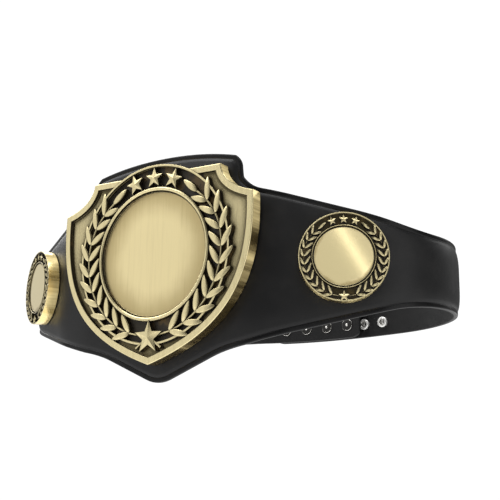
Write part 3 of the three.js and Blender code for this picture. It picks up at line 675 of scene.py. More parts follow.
def half_columns(end):
    """Top and bottom points of one side's columns, with their directions into the leather."""
    tab = top_line[top_line[:, 0] <= fillet_end[0] + 1e-6]
    crown = resample(tab[tab[:, 0] <= corner_start + 1e-6], round(corner_start / COLUMN_STEP))
    turn = tab[tab[:, 0] >= corner_start - 1e-6]
    turn_length = np.linalg.norm(np.diff(turn, axis=0), axis=1).sum()
    turn = resample(turn, round(turn_length / COLUMN_STEP * TURN_DENSITY))
    run_end = end - END_CORNER
    level_run = np.linspace(fillet_end[0], run_end, round((run_end - fillet_end[0]) / COLUMN_STEP))
    angles = np.radians(np.linspace(0, 90, CORNER_STEPS + 1))[1:]
    corner = run_end + END_CORNER * np.sin(angles)
    cut = END_CORNER_DROP * (1 - np.cos(angles))
    flat = np.concatenate([level_run[1:], corner])
    flat_top = np.interp(flat, *top_line.T)
    flat_top[-len(cut):] -= cut
    top = np.vstack([crown[:-1], turn, np.stack([flat, flat_top], -1)])
    shared = np.linspace(corner_start, fillet_end[0], len(turn))
    bottom_place = np.concatenate([crown[:-1, 0], shared, flat])
    bottom_height = np.interp(bottom_place, *bottom_line.T)
    bottom_height[-len(cut):] += cut
    bottom = np.stack([bottom_place, bottom_height], -1)
    top_way, bottom_way = directions(top), directions(bottom)
    into_top = np.stack([top_way[:, 1], -top_way[:, 0]], -1)
    into_bottom = np.stack([-bottom_way[:, 1], bottom_way[:, 0]], -1)
    into_top[-len(cut) - 1:] = (0, -1)
    into_bottom[-len(cut) - 1:] = (0, 1)
    into_top[0], into_bottom[0] = (0, -1), (0, 1)
    return top, into_top, bottom, into_bottom


def full_columns():
    """Both sides' columns in one row, from the inner end round the front to the outer end."""
    right_side, left_side = half_columns(OUTER_END), half_columns(INNER_END)
    mirrored = [part[:0:-1] * np.array([-1, 1]) for part in left_side]
    return [np.vstack(pair) for pair in zip(mirrored, right_side)]


def pattern_grid():
    """The flat pattern as a grid: columns along the strap, and rows from its top edge to its bottom edge."""
    top, into_top, bottom, into_bottom = full_columns()
    border = np.array(BORDER_ROWS)[None, :, None]
    upper = top[:, None] + into_top[:, None] * border
    lower = (bottom[:, None] + into_bottom[:, None] * border)[:, ::-1]
    shares = np.linspace(0, 1, MIDDLE_ROWS + 2)[1:-1][None, :, None]
    middle = upper[:, -1:] * (1 - shares) + lower[:, :1] * shares
    return np.concatenate([upper, middle, lower], axis=1)


def outline_of(grid):
    """The grid's edge as one closed loop of column and row numbers."""
    columns, rows = grid.shape[:2]
    loop = [(column, 0) for column in range(columns)]
    loop += [(columns - 1, row) for row in range(1, rows)]
    loop += [(column, rows - 1) for column in range(columns - 2, -1, -1)]
    loop += [(0, row) for row in range(rows - 2, 0, -1)]
    return loop


def distance_to_loop(points, loop):
    """Shortest distance from each flat point to a closed line."""
    nearest = np.full(len(points), np.inf)
    for start, end in zip(loop, np.roll(loop, -1, axis=0)):
        way = end - start
        share = np.clip((points - start) @ way / max(way @ way, 1e-12), 0, 1)
        nearest = np.minimum(nearest, np.linalg.norm(points - start - share[:, None] * way, axis=1))
    return nearest


def layer_shift(distance):
    """How far inward the left side runs where it passes behind the outer end."""
    outer_end = 2 * half_loop - OUTER_END
    step = ease(-distance, outer_end - LAYER_SHIFT, outer_end - LAYER_SHIFT_LEAD)
    return (STRAP_THICKNESS + LAYER_GAP) * step


def on_belt(pattern, inset):
    """Points of the flat pattern on the closed belt, so far in from its padded face."""
    height = pattern[:, 1] + level - droop(pattern[:, 0])
    return wrap(pattern[:, 0], inset + layer_shift(pattern[:, 0]), height)


def build_strap():
    grid = pattern_grid()
    columns, rows = grid.shape[:2]
    flat = grid.reshape(-1, 2)
    loop = outline_of(grid)
    edge = np.array([grid[place] for place in loop])
    distance = distance_to_loop(flat, edge)
    face = on_belt(flat, np.interp(distance, *zip(*FACE_DEPTH)))
    inside = on_belt(flat, STRAP_THICKNESS - np.interp(distance, *zip(*LINING_DEPTH)))
    way = directions(np.vstack([edge[-1:], edge, edge[:1]]))[1:-1]
    outward = np.stack([-way[:, 1], way[:, 0]], -1)
    rings = [on_belt(edge + outward * stand, inset) for inset, stand in EDGE_RINGS]
    points = np.vstack([face, inside, *rings])
    faces, finish_numbers = [], []
    count = columns * rows
    for column in range(columns - 1):
        for row in range(rows - 1):
            a = column * rows + row
            quad = (a, a + 1, a + rows + 1, a + rows)
            faces.append(quad)
            faces.append(tuple(count + corner for corner in reversed(quad)))
            in_border = distance[list(quad)].max() < BORDER_WIDTH
            finish_numbers += [BORDER if in_border else FACE, LINING]
    outer = [column * rows + row for column, row in loop]
    loops = [outer]
    for number in range(len(rings)):
        loops.append([2 * count + number * len(loop) + step for step in range(len(loop))])
    loops.append([count + corner for corner in outer])
    for first, second in zip(loops, loops[1:]):
        for step in range(len(loop)):
            after = (step + 1) % len(loop)
            faces.append((first[step], first[after], second[after], second[step]))
            finish_numbers.append(EDGE)
    strap = make_object("strap_leather", points, faces, strap_finishes)
    strap.data.polygons.foreach_set("material_index", finish_numbers)
    face_outward(strap)
    shade(strap, EDGE_BREAK)
    return finish_piece(strap, "leather", "strap")


strap = build_strap()
print("strap", len(strap.data.polygons), "faces")

# %% [markdown]
# ## Plates in their own frame
# A plate is drawn looking at its face: x to the right, y up, z out of the face, with the rim's face at 0.
# One matrix then seats it on the strap. Real plates are cast in one piece, so their bodies are joined by a
# Boolean before shading: bodies that only cross each other would show no fillet of stain where they meet.

# %% Plate helpers
SHIELD_THICKNESS = 12.8
ROOTED = 0.3  # how far a relief reaches into the band's floor
WALL_TOP = 3.7  # the polished outer wall starts this far below the rim's face
WALL_BACK = 0.2
WALL_MARGIN = 0.6
DISC_MARGIN = 0.2
PLATE_BREAK = 17
SHIELD_BAND = Sizes(
    outer=83.6, ring=2.0, ring_height=0.4, floor=4.2, inner=62.0, bead=3.2, bead_height=0.8, groove=3.0,
    ledge=1.4, ledge_depth=1.4, disc=3.0, edge=0.3, overrun=3.6,
    leaf_width=6.4, ridge=1.0, leaf_edge=0.05, tip_drop=0.4, foot_spread=0.5,
    stem_width=1.75, stem_top=0, stem_end_top=0.65,
    small_star=9.8, small_apex=1.5, large_star=15.5, large_apex=2.3, star_tip=0.85, star_place=0.67)
MEDAL_BAND = Sizes(
    outer=38.1, ring=1.0, ring_height=0.4, floor=2.2, inner=27.1, bead=0.9, bead_height=0.8, groove=1.6,
    ledge=1.6, ledge_depth=0.3, disc=0.4, edge=0.15, overrun=-0.7,
    leaf_width=2.7, ridge=0.9, leaf_edge=0.05, tip_drop=0.4, foot_spread=0.25,
    stem_width=0.6, stem_top=-0.2, stem_end_top=0.5,
    small_star=3.9, small_apex=1.3, large_star=4.8, large_apex=1.6, star_tip=0.5, star_place=0.6)
LEAF_PAIRS = 10
LEAF_PITCH = 12
LEAF_STEPS = 14
LEAF_FULLEST, LEAF_OUTLINE, LEAF_CROWN = 0.85, 0.62, 0.7  # powers that shape a leaf from foot to tip
LEAF_TIP = 0.06
LEAF_DRAFT = 0.25
FIRST_LEAF = 162.4
LAST_STEM = 42.5
STEM_TURN_IN = 80
STEM_LEAD = 1.5
STEM_POINTS = 48
SHARES = Sizes(stem=0.61, stem_top=0.37, inner_tip=0.04, terminal=0.5, star=0.42)  # of the band's width
STEM_END = [(180, 0.66), (184.7, 0.875), (189.1, 1.16)]  # angle, and share of the band's width
OUTER_TURN, INNER_TURN, TERMINAL_TURN = 11.6, 13.2, 15.5
STAR_PITCH = 18
STAR_NOTCH = 0.42


def plate_matrix(origin, facing):
    """Seats a plate: facing is how far its face is turned to the right, in radians."""
    return seat_matrix(Vector(origin), Vector((math.sin(facing), -math.cos(facing), 0)))


def polar(angle, radius):
    """A point on a plate, with the angle in degrees from the top."""
    return radius * np.array([math.sin(math.radians(angle)), math.cos(math.radians(angle))])


def band_profile(band, thickness):
    """Half section of a plate's round middle, from the back's centre round its outside to the disc's."""
    ring_inner = band.outer - band.ring
    bead_inner = band.inner - band.bead
    disc_edge = bead_inner - band.ledge
    bead_middle = bead_inner + band.bead / 2
    sharp = [
        (0, -thickness), (band.outer - 0.5, -thickness), (band.outer, -thickness + 0.5),
        (band.outer, band.ring_height), (ring_inner, band.ring_height),
        (ring_inner - 0.1, -band.floor * 0.4), (ring_inner - 0.5, -band.floor * 0.45),
        (ring_inner - 0.7, -band.floor),
        (band.inner + 0.5, -band.floor), (band.inner + 0.1, band.bead_height - 0.6),
        (bead_middle + band.bead * 0.2, band.bead_height),
        (bead_middle - band.bead * 0.2, band.bead_height),
        (bead_inner, band.bead_height - 0.5), (bead_inner - 0.15, -band.groove),
        (bead_inner - band.ledge * 0.45, -band.groove), (bead_inner - band.ledge * 0.6, -band.ledge_depth),
        (disc_edge + band.ledge * 0.1, -band.ledge_depth), (disc_edge, -band.disc), (0, -band.disc),
    ]
    return rounded(sharp, band.edge, 3)


LEAF_SECTION = [  # place across the half width, and height above the leaf's rim as a share of its crown
    (-1, 0), (-0.96, 0.26), (-0.9, 0.5), (-0.82, 0.72), (-0.72, 0.88), (-0.5, 0.95), (-0.25, 0.98), (0, 1),
]
LEAF_SECTION += [(-across, height) for across, height in LEAF_SECTION[-2::-1]]


def leaf_body(foot, tip, band):
    """A pointed leaf with a flat face and a bevelled edge, standing on the band's floor."""
    root = -band.floor - ROOTED
    length = np.linalg.norm(tip - foot)
    way = (tip - foot) / length
    side = np.array([-way[1], way[0]])
    rings = []
    for step in range(LEAF_STEPS + 1):
        t = 0.5 - 0.5 * math.cos(math.pi * step / LEAF_STEPS)
        swell = max(math.sin(math.pi * t ** LEAF_FULLEST), 0.0)
        half = 0.5 * band.leaf_width * swell ** LEAF_OUTLINE + LEAF_TIP
        rim = band.leaf_edge - band.tip_drop * t
        crown = (band.ridge - rim) * swell ** LEAF_CROWN
        section = [(-half - LEAF_DRAFT, root)]
        section += [(half * across, rim + crown * height) for across, height in LEAF_SECTION]
        section += [(half + LEAF_DRAFT, root)]
        spot = foot + way * length * t
        rings.append([(*(spot + side * across), height) for across, height in section])
    return skin(rings)


def stem_body(line, top, band):
    """A narrow bar with a rounded top along a run of points."""
    root = -band.floor - ROOTED
    half_section = [(-0.62, root), (-0.5, top - 0.45), (-0.3, top - 0.1), (0, top)]
    section = half_section + [(-across, height) for across, height in half_section[-2::-1]]
    rings = []
    for spot, along in zip(line, directions(np.array(line))):
        side = np.array([-along[1], along[0]])
        rings.append([(*(spot + side * across * band.stem_width), height) for across, height in section])
    return skin(rings)


def star_body(centre, radius, turn, apex, band):
    """A five-pointed star with ten flat facets."""
    radii = [radius, radius * STAR_NOTCH] * 5
    spots = [centre + polar(turn + 36 * step, radii[step]) for step in range(9, -1, -1)]
    points = [(*spot, -band.floor - ROOTED) for spot in spots] + [(*spot, band.star_tip) for spot in spots]
    points.append((*centre, apex))
    faces = [tuple(range(9, -1, -1))]
    for step in range(10):
        after = (step + 1) % 10
        faces += [(step, after, after + 10, step + 10), (step + 10, after + 10, 20)]
    return points, faces


def band_radius(band, share):
    return band.inner + (band.outer - band.inner) * share


def stem_radius(band, angle):
    turned_in = ease(angle, LAST_STEM - LEAF_PITCH, STEM_TURN_IN)
    return band_radius(band, SHARES.stem_top + (SHARES.stem - SHARES.stem_top) * turned_in)


def wreath(band):
    """Every leaf, stem and star of a plate as closed bodies."""
    bodies = []
    reach = band.outer + band.overrun
    for side in (-1, 1):
        stem_angles = np.linspace(LAST_STEM - STEM_LEAD, FIRST_LEAF + STEM_LEAD, STEM_POINTS)
        stem = [polar(side * angle, stem_radius(band, angle)) for angle in stem_angles]
        stem_end = [polar(side * angle, min(band_radius(band, share), reach)) for angle, share in STEM_END]
        bodies.append(stem_body(stem + stem_end[:1], band.stem_top, band))
        bodies.append(stem_body(stem_end, band.stem_end_top, band))
        for pair in range(LEAF_PAIRS):
            angle = FIRST_LEAF - pair * LEAF_PITCH
            middle = stem_radius(band, angle)
            outer_tip = polar(side * (angle - OUTER_TURN), reach)
            inner_tip = polar(side * (angle - INNER_TURN), band_radius(band, SHARES.inner_tip))
            bodies.append(leaf_body(polar(side * angle, middle + band.foot_spread), outer_tip, band))
            bodies.append(leaf_body(polar(side * angle, middle - band.foot_spread), inner_tip, band))
        terminal = polar(side * (LAST_STEM - TERMINAL_TURN), band_radius(band, SHARES.terminal))
        bodies.append(leaf_body(polar(side * LAST_STEM, stem_radius(band, LAST_STEM)), terminal, band))
    for turn in (-STAR_PITCH, 0, STAR_PITCH):
        centre = polar(turn, band_radius(band, SHARES.star))
        bodies.append(star_body(centre, band.small_star, turn, band.small_apex, band))
    centre = polar(180, band_radius(band, band.star_place))
    bodies.append(star_body(centre, band.large_star, 0, band.large_apex, band))
    return bodies


def closed_object(name, body):
    made = make_object(name, *body, [])
    face_outward(made)
    return made


def plate_bodies(band, thickness, segments):
    """A plate's turned middle and the bodies of its wreath, not joined yet."""
    middle = closed_object("middle", skin(turned(band_profile(band, thickness), segments)))
    return [middle] + [closed_object(f"relief_{number}", body) for number, body in enumerate(wreath(band))]


def combine(name, base, operation, others):
    """Base joined with or cut by other bodies, as a new object. The bodies are taken away."""
    group = bpy.data.collections.new(name + "_bodies")
    scene.collection.children.link(group)
    for other in others:
        scene.collection.objects.unlink(other)
        group.objects.link(other)
    join = base.modifiers.new("join", "BOOLEAN")
    join.operation = operation
    join.operand_type = "COLLECTION"
    join.collection = group
    join.solver = "MANIFOLD"
    mesh = bpy.data.meshes.new_from_object(base.evaluated_get(bpy.context.evaluated_depsgraph_get()))
    mesh.name = name
    made = bpy.data.objects.new(name, mesh)
    scene.collection.objects.link(made)
    for spent in [base, *others]:
        bpy.data.objects.remove(spent, do_unlink=True)
    bpy.data.collections.remove(group)
    return made


def dress_plate(made, matrix, band, thickness, finishes):
    """Gives each face of a plate its finish by where it lies: cast, outer wall or disc."""
    made.matrix_world = matrix
    set_finishes(made, finishes)
    disc_edge = band.inner - band.bead - band.ledge
    for face in made.data.polygons:
        middle, normal = face.center / MM, face.normal
        from_axis = math.hypot(middle.x, middle.y)
        on_disc = from_axis < disc_edge and abs(middle.z + band.disc) < DISC_MARGIN
        looks_outward = abs(normal.z) < 0.5 and middle.x * normal.x + middle.y * normal.y > 0
        below_rim = WALL_BACK - thickness < middle.z < -WALL_TOP
        on_wall = looks_outward and below_rim and from_axis > band.outer - WALL_MARGIN
        face.material_index = DISC if on_disc else WALL if on_wall else CAST
    shade(made, PLATE_BREAK)


print("plate helpers ready")

# %% [markdown]
# ## The shield
# The shield's slab has a flat polished rim round a sunken field, with a round well for the wreath. Its
# outline is a straight top, two hollow shoulders and two flanks that meet in a point. Rounded rim edges
# catch the bright line that runs round the real plate, and a bevel modifier would fail at the sharp
# corners, so the outline is moved inward step by step instead, piece by piece, and cut where the pieces
# cross.

# %% Shield
SHIELD_OUTLINE = Sizes(top_half=72.5, top=74.5, shoulder_half=106.4, shoulder=46, tip=-100.8,
                       scoop_across=2.5, scoop_rise=8, bulge=1.043, bulge_fall=0.56,
                       flank=0.73, flank_fall=0.75)
PIECE_POINTS = (24, 36, 90)
SHIELD_SEGMENTS = 256
WELL_TOP = 2
SHIELD_SECTION = [  # inset from the outline, and height
    (0.6, -12.8), (0.15, -12.65), (0, -12.2), (0, -0.9), (0.08, -0.5), (0.3, -0.15), (0.75, 0), (5.5, 0),
    (5.85, -0.12), (6.0, -0.5), (6.15, -2.2), (6.35, -2.65), (6.8, -2.85), (7.6, -2.9),
]


def shield_pieces():
    """One side's outline in three pieces: top edge, hollow shoulder and flank."""
    o = SHIELD_OUTLINE
    top_corner, shoulder = (o.top_half, o.top), (o.shoulder_half, o.shoulder)
    top = np.linspace((0, o.top), top_corner, 12)
    scoop = bend(top_corner, (o.top_half + o.scoop_across, o.shoulder + o.scoop_rise), shoulder, 40)
    t = np.linspace(0, 1, 121)[:, None]
    first = np.array([o.shoulder_half * o.bulge, o.shoulder + (o.tip - o.shoulder) * o.bulge_fall])
    second = np.array([o.shoulder_half * o.flank, o.tip * o.flank_fall])
    side = (1 - t) ** 3 * np.array(shoulder) + 3 * t * (1 - t) ** 2 * first
    side = side + 3 * t * t * (1 - t) * second + t ** 3 * np.array((0, o.tip))
    return [top, scoop, side]


def crossing(first, second):
    """Where two lines cross: the segment on each, and the point."""
    for i in range(len(first) - 1, 0, -1):
        a, b = first[i - 1], first[i]
        for j in range(len(second) - 1):
            c, d = second[j], second[j + 1]
            r, s = b - a, d - c
            bottom = r[0] * s[1] - r[1] * s[0]
            if abs(bottom) < 1e-12:
                continue
            t = ((c[0] - a[0]) * s[1] - (c[1] - a[1]) * s[0]) / bottom
            u = ((c[0] - a[0]) * r[1] - (c[1] - a[1]) * r[0]) / bottom
            if -1e-9 <= t <= 1 + 1e-9 and -1e-9 <= u <= 1 + 1e-9:
                return i, j, a + t * r
    return None


def shield_ring(inset):
    """The outline moved inward, counted round from the middle of the top edge."""
    moved = []
    for piece in shield_pieces():
        way = directions(piece)
        moved.append(piece + np.stack([way[:, 1], -way[:, 0]], -1) * inset)
    for number in (0, 1):
        first, second = moved[number], moved[number + 1]
        if inset > 0:
            i, j, point = crossing(first, second)
            moved[number] = np.vstack([first[:i], point])
            moved[number + 1] = np.vstack([point, second[j + 1:]])
    side = moved[2]
    last = int(np.argmax(side[:, 0] < 1e-9)) if side[-1, 0] < 1e-9 else len(side) - 1
    before, after = side[last - 1], side[last]
    share = before[0] / (before[0] - after[0])
    moved[2] = np.vstack([side[:last], before + (after - before) * share])
    half = np.vstack([resample(piece, count)[:-1] for piece, count in zip(moved, PIECE_POINTS)])
    tip = moved[2][-1:]
    return np.vstack([half, tip, half[:0:-1] * np.array([-1, 1])])


slab_rings = [[(*point, height) for point in shield_ring(inset)] for inset, height in SHIELD_SECTION]
slab = closed_object("slab", skin(slab_rings))
well_radius = SHIELD_BAND.outer - SHIELD_BAND.ring / 2
well_profile = [(0, -SHIELD_BAND.floor), (well_radius, -SHIELD_BAND.floor), (well_radius, WELL_TOP),
                (0, WELL_TOP)]
well = closed_object("well", skin(turned(well_profile, SHIELD_SEGMENTS)))
cut_slab = combine("cut_slab", slab, "DIFFERENCE", [well])
shield_bodies = plate_bodies(SHIELD_BAND, SHIELD_THICKNESS, SHIELD_SEGMENTS)
shield = combine("shield_plate_brass", cut_slab, "UNION", shield_bodies)
shield_matrix = plate_matrix((0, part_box("shield_plate")[1].y - SHIELD_THICKNESS * MM, disc_centre.z), 0)
dress_plate(shield, shield_matrix, SHIELD_BAND, SHIELD_THICKNESS, shield_finishes)
finish_piece(shield, "antique_brass", "shield_plate")
print("shield", len(shield.data.polygons), "faces")

# %% [markdown]
# ## The medals
# Each medal is the shield's round middle again in small: a thick turned disc with a rim, a wreath and a
# plain middle, polished by hand after casting. The same functions draw it from the medal's own sizes.

# %% Medals
MEDAL_PLACE = 177
MEDAL_HEIGHT = -13.1
MEDAL_THICKNESS = 11.4
MEDAL_SEGMENTS = 192
medal_facing = math.radians(PLAN_TABLE[1]["turn"])


def build_medal(name, side):
    middle, *reliefs = plate_bodies(MEDAL_BAND, MEDAL_THICKNESS, MEDAL_SEGMENTS)
    medal = combine(name + "_brass", middle, "UNION", reliefs)
    seat = wrap([side * MEDAL_PLACE], -MEDAL_THICKNESS - SEAT_GAP, MEDAL_HEIGHT + level)[0] * MM
    dress_plate(medal, plate_matrix(seat, side * medal_facing), MEDAL_BAND, MEDAL_THICKNESS, medal_finishes)
    return finish_piece(medal, "antique_brass", name)


medals = [build_medal("medal_left", -1), build_medal("medal_right", 1)]
print("medals", [len(medal.data.polygons) for medal in medals], "faces")

# %% [markdown]
# ## Snaps
# At the back, caps set in the inner end press into sockets set in the outer end. Inside the belt, the inner
# end shows black caps with bright rolled rims, and past it the free sockets of the outer end show their
# wire springs. Each snap is turned from one half section, and its bands of finish follow the runs of that
# section.

# %% Snap and screw helpers
SNAP_SEGMENTS = 48
SNAP_CAP = 6.3
SNAP_RIM = 0.45
CAP_HEIGHT = 1.4
SHANK = 2.0
HEAD = 2.8
FLANGE = 4.8
SOCKET = 5.6
SOCKET_HEIGHT = 2.6
SOCKET_BORE = 3.4
SOCKET_ROOF = 0.5
SPRING_PLACE = 2.1
SPRING_WIRE = 0.45
SPRING_SEGMENTS = 12
RIVET, RIVET_BASE, RIVET_RISE = 1.3, 0.95, 0.45
DOME_POWER = 2.4
CAP_FACE = [(RIVET, 0.8), (2.2, 0.72), (SNAP_CAP - SNAP_RIM - 0.1, 0.6)]  # radius, and height off the leather
SMALL_BREAK = 35


def through_matrix(distance, height, inset):
    """A place on the leather's inside face, with Z pointing outward through the leather."""
    inside = wrap([distance], STRAP_THICKNESS + inset, height)[0]
    out = Vector(wrap([distance], inset, height)[0] - inside).normalized()
    return seat_matrix(Vector(inside * MM), out)


def turned_piece(name, runs, finishes, matrix):
    """One turned piece. Each run is a finish number and the section points it ends with."""
    profile, numbers = [], []
    for number, points in runs:
        numbers += [number] * len(points)
        profile += points
    points, faces = skin(turned(profile, SNAP_SEGMENTS))
    made = make_object(name, points, faces, finishes, matrix)
    bands = [number for number in numbers[1:] for _ in range(SNAP_SEGMENTS)]
    made.data.polygons.foreach_set("material_index", bands + [numbers[0], numbers[-1]])
    face_outward(made)
    return made


def arc(middle, radius, first, last, steps=6):
    """Section points on a bend, between two angles in degrees counted from the outward direction."""
    angles = np.radians(np.linspace(first, last, steps + 1))
    return [(middle[0] + radius * math.cos(angle), middle[1] + radius * math.sin(angle)) for angle in angles]


def dome(radius, base, height, steps=8):
    """Section points of a shallow dome from its middle out to its edge."""
    shares = np.linspace(0, 1, steps + 1)
    return [(radius * share, base + height * (1 - share ** DOME_POWER)) for share in shares]


def inside_face(section):
    """A section measured from the leather's inside face, turned to stand on that face."""
    return [(radius, -SEAT_GAP - height) for radius, height in section]


print("snap helpers ready")

# %% [markdown]
# ## Where the snaps sit
# Two rows of four studs hold the belt shut, and each row goes on with two free sockets for a smaller waist.
# The free ones stand unevenly in the photograph. A count with one pitch would be shorter, but would lose
# that, so their places are listed. Both rows follow the strap's droop.

# %% Snaps
ROW_INSET = 14
STUD_ROWS = {"lower": STRAP_BOTTOM + ROW_INSET, "upper": STRAP_TOP - ROW_INSET}
STUD_PITCH = 26.8
STUD_COLUMNS = 4
FREE_SOCKETS = [16.4, 39.8]  # before the first stud
FIRST_STUD = 16
first_stud = 2 * half_loop - INNER_END + FIRST_STUD


def build_stud(name, matrix):
    """Rivet dot, black cap, bright rim, shank, flange and head, from the cap's middle outward."""
    top = STRAP_THICKNESS + SEAT_GAP
    head_top = top + LAYER_GAP - SEAT_GAP - SOCKET_HEIGHT / 2
    rim_middle = (SNAP_CAP - SNAP_RIM / 2, -SEAT_GAP - SNAP_RIM / 2)
    rivet = inside_face(dome(RIVET, RIVET_BASE, RIVET_RISE))
    rim = arc(rim_middle, SNAP_RIM / 2, -180, 0) + [(SNAP_CAP, -SEAT_GAP)]
    shank = [(SHANK, -SEAT_GAP), (SHANK, top), (FLANGE, top), (FLANGE, top + 0.5), (HEAD, top + 0.5),
             (HEAD, head_top - 0.5), (HEAD - 0.5, head_top), (0, head_top)]
    runs = [(NICKEL, rivet), (ENAMEL, inside_face(CAP_FACE)), (NICKEL, rim), (CHROME, shank)]
    return turned_piece(name, runs, snap_finishes, matrix)


def build_socket(name, matrix):
    """A bored ring inside the belt, with two wires across its bore, and a domed cap outside."""
    top = STRAP_THICKNESS + SEAT_GAP
    low = -SEAT_GAP - SOCKET_HEIGHT
    bore = [(0, -SEAT_GAP - SOCKET_ROOF), (SOCKET_BORE, -SEAT_GAP - SOCKET_ROOF), (SOCKET_BORE, low + 0.5)]
    ring = arc((SOCKET_BORE + 0.4, low + 0.4), 0.4, 180, 270, 4)
    ring += arc((SOCKET - 0.8, low + 0.8), 0.8, -90, 0, 5)
    ring += [(SOCKET, -SEAT_GAP), (SHANK, -SEAT_GAP), (SHANK, top), (SNAP_CAP - 0.3, top)]
    cap = arc((SNAP_CAP - 0.35, top + 0.35), 0.35, -90, 60, 5)
    cap += dome(SNAP_CAP - 0.5, top + 0.5, CAP_HEIGHT - 0.5)[::-1]
    made = turned_piece(name, [(CHROME, bore + ring + cap)], snap_finishes, matrix)
    length = 2 * math.sqrt(SOCKET_BORE ** 2 - SPRING_PLACE ** 2) * MM + 0.0004
    radius = SPRING_WIRE * MM
    wire = {"segments": SPRING_SEGMENTS, "radius1": radius, "radius2": radius, "depth": length}
    with editing(made.data) as work:
        for side in (-1, 1):
            bar = bmesh.ops.create_cone(work, cap_ends=True, **wire)["verts"]
            bmesh.ops.rotate(work, verts=bar, cent=(0, 0, 0), matrix=Matrix.Rotation(math.pi / 2, 3, "X"))
            bmesh.ops.translate(work, verts=bar, vec=(side * SPRING_PLACE * MM, 0, (low + 0.75) * MM))
            for vert in bar:
                for face in vert.link_faces:
                    face.material_index = NICKEL
    return made


snaps = []
for row, height in STUD_ROWS.items():
    free = [first_stud - offset for offset in FREE_SOCKETS]
    places = [first_stud + column * STUD_PITCH for column in range(STUD_COLUMNS)]
    for number, distance in enumerate(places + free, start=1):
        place_height = height + level - float(droop(distance))
        if number <= STUD_COLUMNS:
            name = f"snap_stud_{row}_{number}"
            matrix = through_matrix(distance, place_height, STRAP_THICKNESS + LAYER_GAP)
            snaps.append((build_stud(name + "_metal", matrix), "black_snap", name))
        name = f"snap_socket_{row}_{number}"
        socket = build_socket(name + "_metal", through_matrix(distance, place_height, 0))
        snaps.append((socket, "chrome_snap", name))
for made, slot, name in snaps:
    shade(made, SMALL_BREAK)
    finish_piece(made, slot, name)
print(len(snaps), "snap pieces")

# %% [markdown]
# ## Plate screws
# Round-headed screws go through the leather into the backs of the plates. They are seen only inside the
# belt. Each is turned like a snap, and its slot is cut by a Boolean, since the slot has sharp ends that no
# turning gives.

# %% Screws
SCREW_CIRCLE = SHIELD_BAND.outer - 7.2
SCREW_ANGLE = math.radians(47)
MEDAL_SCREW_SPREAD = 22
SCREW_HEAD = 3.0
SCREW_HEIGHT = 1.5
SCREW_EDGE = 0.25
SCREW_SHANK = 1.2
SLOT_WIDTH, SLOT_DEPTH = 0.9, 0.7
SLOT_REACH = 4


def build_screw(name, matrix):
    head = inside_face(dome(SCREW_HEAD, SCREW_EDGE, SCREW_HEIGHT - SCREW_EDGE))
    shank = [(SCREW_HEAD, -SEAT_GAP), (SCREW_SHANK, -SEAT_GAP), (SCREW_SHANK, STRAP_THICKNESS)]
    shank.append((0, STRAP_THICKNESS))
    screw = turned_piece("screw", [(0, head + shank)], [screw_steel], Matrix.Identity(4))
    low = -SEAT_GAP - SCREW_HEIGHT
    corners = [(x * SLOT_WIDTH / 2, y * SLOT_REACH) for x, y in ((-1, -1), (1, -1), (1, 1), (-1, 1))]
    slot_rings = [[(*corner, z) for corner in corners] for z in (low - 1, low + SLOT_DEPTH)]
    slot = closed_object("slot", skin(slot_rings))
    made = combine(name + "_steel", screw, "DIFFERENCE", [slot])
    made.matrix_world = matrix
    set_finishes(made, [screw_steel])
    shade(made, SMALL_BREAK)
    return finish_piece(made, "steel_screw", name)


screws = []
for side, side_name in ((-1, "left"), (1, "right")):
    for end, end_name in ((-1, "lower"), (1, "upper")):
        distance = side * SCREW_CIRCLE * math.sin(SCREW_ANGLE)
        matrix = through_matrix(distance, end * SCREW_CIRCLE * math.cos(SCREW_ANGLE) + level, 0)
        screws.append(build_screw(f"plate_screw_shield_{end_name}_{side_name}", matrix))
        matrix = through_matrix(side * MEDAL_PLACE, MEDAL_HEIGHT + end * MEDAL_SCREW_SPREAD + level, 0)
        screws.append(build_screw(f"plate_screw_medal_{side_name}_{end_name}", matrix))
print(len(screws), "screws")

# %% [markdown]
# ## Floor and light
# The photograph is a studio shot on white with wide soft lights: one high on each side of the front, one
# overhead for the strap's top edge, some beside and behind it for its rolled borders, and pale panels that
# the metal faces reflect. Metal shows its surroundings, so each disc needs a panel where its mirror image
# would fall, and a thin one draws the streak across the right medal. The belt is held up, so the floor lies
# well below it. The world is white to the camera and dim to mirrors, or the black leather would turn grey.

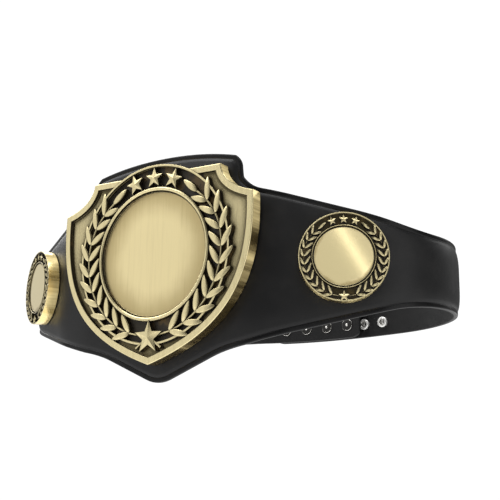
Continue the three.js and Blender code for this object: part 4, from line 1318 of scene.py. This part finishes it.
# %% Floor, panels and world
FLOOR_HEIGHT = -1.0
FLOOR_HALF = 20.0
FLOOR_WHITE = (0.97, 0.97, 0.97, 1)
WORLD_SEEN = 1.07
WORLD_MIRRORED = 0.17
PANELS = [  # name, azimuth, elevation, distance, size, brightness and roll
    ("key_left", -48, 46, 1.6, (1.0, 0.8), 3.6, 0),
    ("overhead", 10, 78, 1.3, (1.4, 0.7), 5.0, 0),
    ("key_right", 56, 42, 1.6, (1.0, 0.5), 1.5, 0),
    ("edge_left", -104, 36, 1.6, (1.3, 1.0), 4.4, 0),
    ("strip_right", 78, 8, 1.4, (0.7, 1.3), 1.3, 0),
    ("behind_high", 146, 25, 1.5, (0.6, 0.42), 1.9, 0),
    ("behind_low", 149, 8.5, 1.5, (0.2, 0.06), 2.2, 0),
    ("shield_panel", -46, 13, 1.7, (1.5, 1.3), 0.79, 0),
    ("medal_panel", 33, 11, 1.5, (0.6, 0.7), 0.6, 0),
    ("medal_streak", 36, 10, 1.45, (0.014, 0.7), 1.5, 30),
    ("left_medal_panel", -96, 9, 1.5, (0.45, 0.6), 0.57, 0),
]


def panel(name, azimuth, elevation, distance, size, brightness, roll):
    """A soft light aimed at the belt. Azimuth 0 is in front and 90 on the right. A white wall is 1 bright."""
    turn, rise = math.radians(azimuth), math.radians(elevation)
    way = Vector((math.sin(turn) * math.cos(rise), -math.cos(turn) * math.cos(rise), math.sin(rise)))
    data = bpy.data.lights.new(name, "AREA")
    data.shape = "RECTANGLE"
    data.size, data.size_y = size
    data.energy = math.pi * size[0] * size[1] * brightness
    light = bpy.data.objects.new(name, data)
    aim = way.to_track_quat("Z", "Y").to_matrix().to_4x4() @ Matrix.Rotation(math.radians(roll), 4, "Z")
    light.matrix_world = Matrix.Translation(way * distance) @ aim
    scene.collection.objects.link(light)


floor_corners = [(x * FLOOR_HALF, y * FLOOR_HALF) for x, y in ((-1, -1), (1, -1), (1, 1), (-1, 1))]
floor_points = [(x / MM, y / MM, FLOOR_HEIGHT / MM) for x, y in floor_corners]
floor_finish = Finish("floor_pale").surface(Base_Color=FLOOR_WHITE, Roughness=1.0, Specular_IOR_Level=0.0)
floor = make_object("floor", floor_points, [(0, 1, 2, 3)], [floor_finish])

scene.view_settings.view_transform = "Standard"
world = Finish("studio", bpy.data.worlds)
mirrored = world.node("ShaderNodeLightPath", {}, {}, "Is Glossy Ray")
limits = {"Value": mirrored, "To Min": WORLD_SEEN, "To Max": WORLD_MIRRORED}
strength = world.node("ShaderNodeMapRange", {}, limits, "Result")
glow = world.node("ShaderNodeBackground", {}, {"Color": (1, 1, 1, 1), "Strength": strength}, "Background")
world.node("ShaderNodeOutputWorld", {}, {"Surface": glow}, None)
scene.world = world.owner

for row in PANELS:
    panel(*row)
print(len(PANELS), "panels")
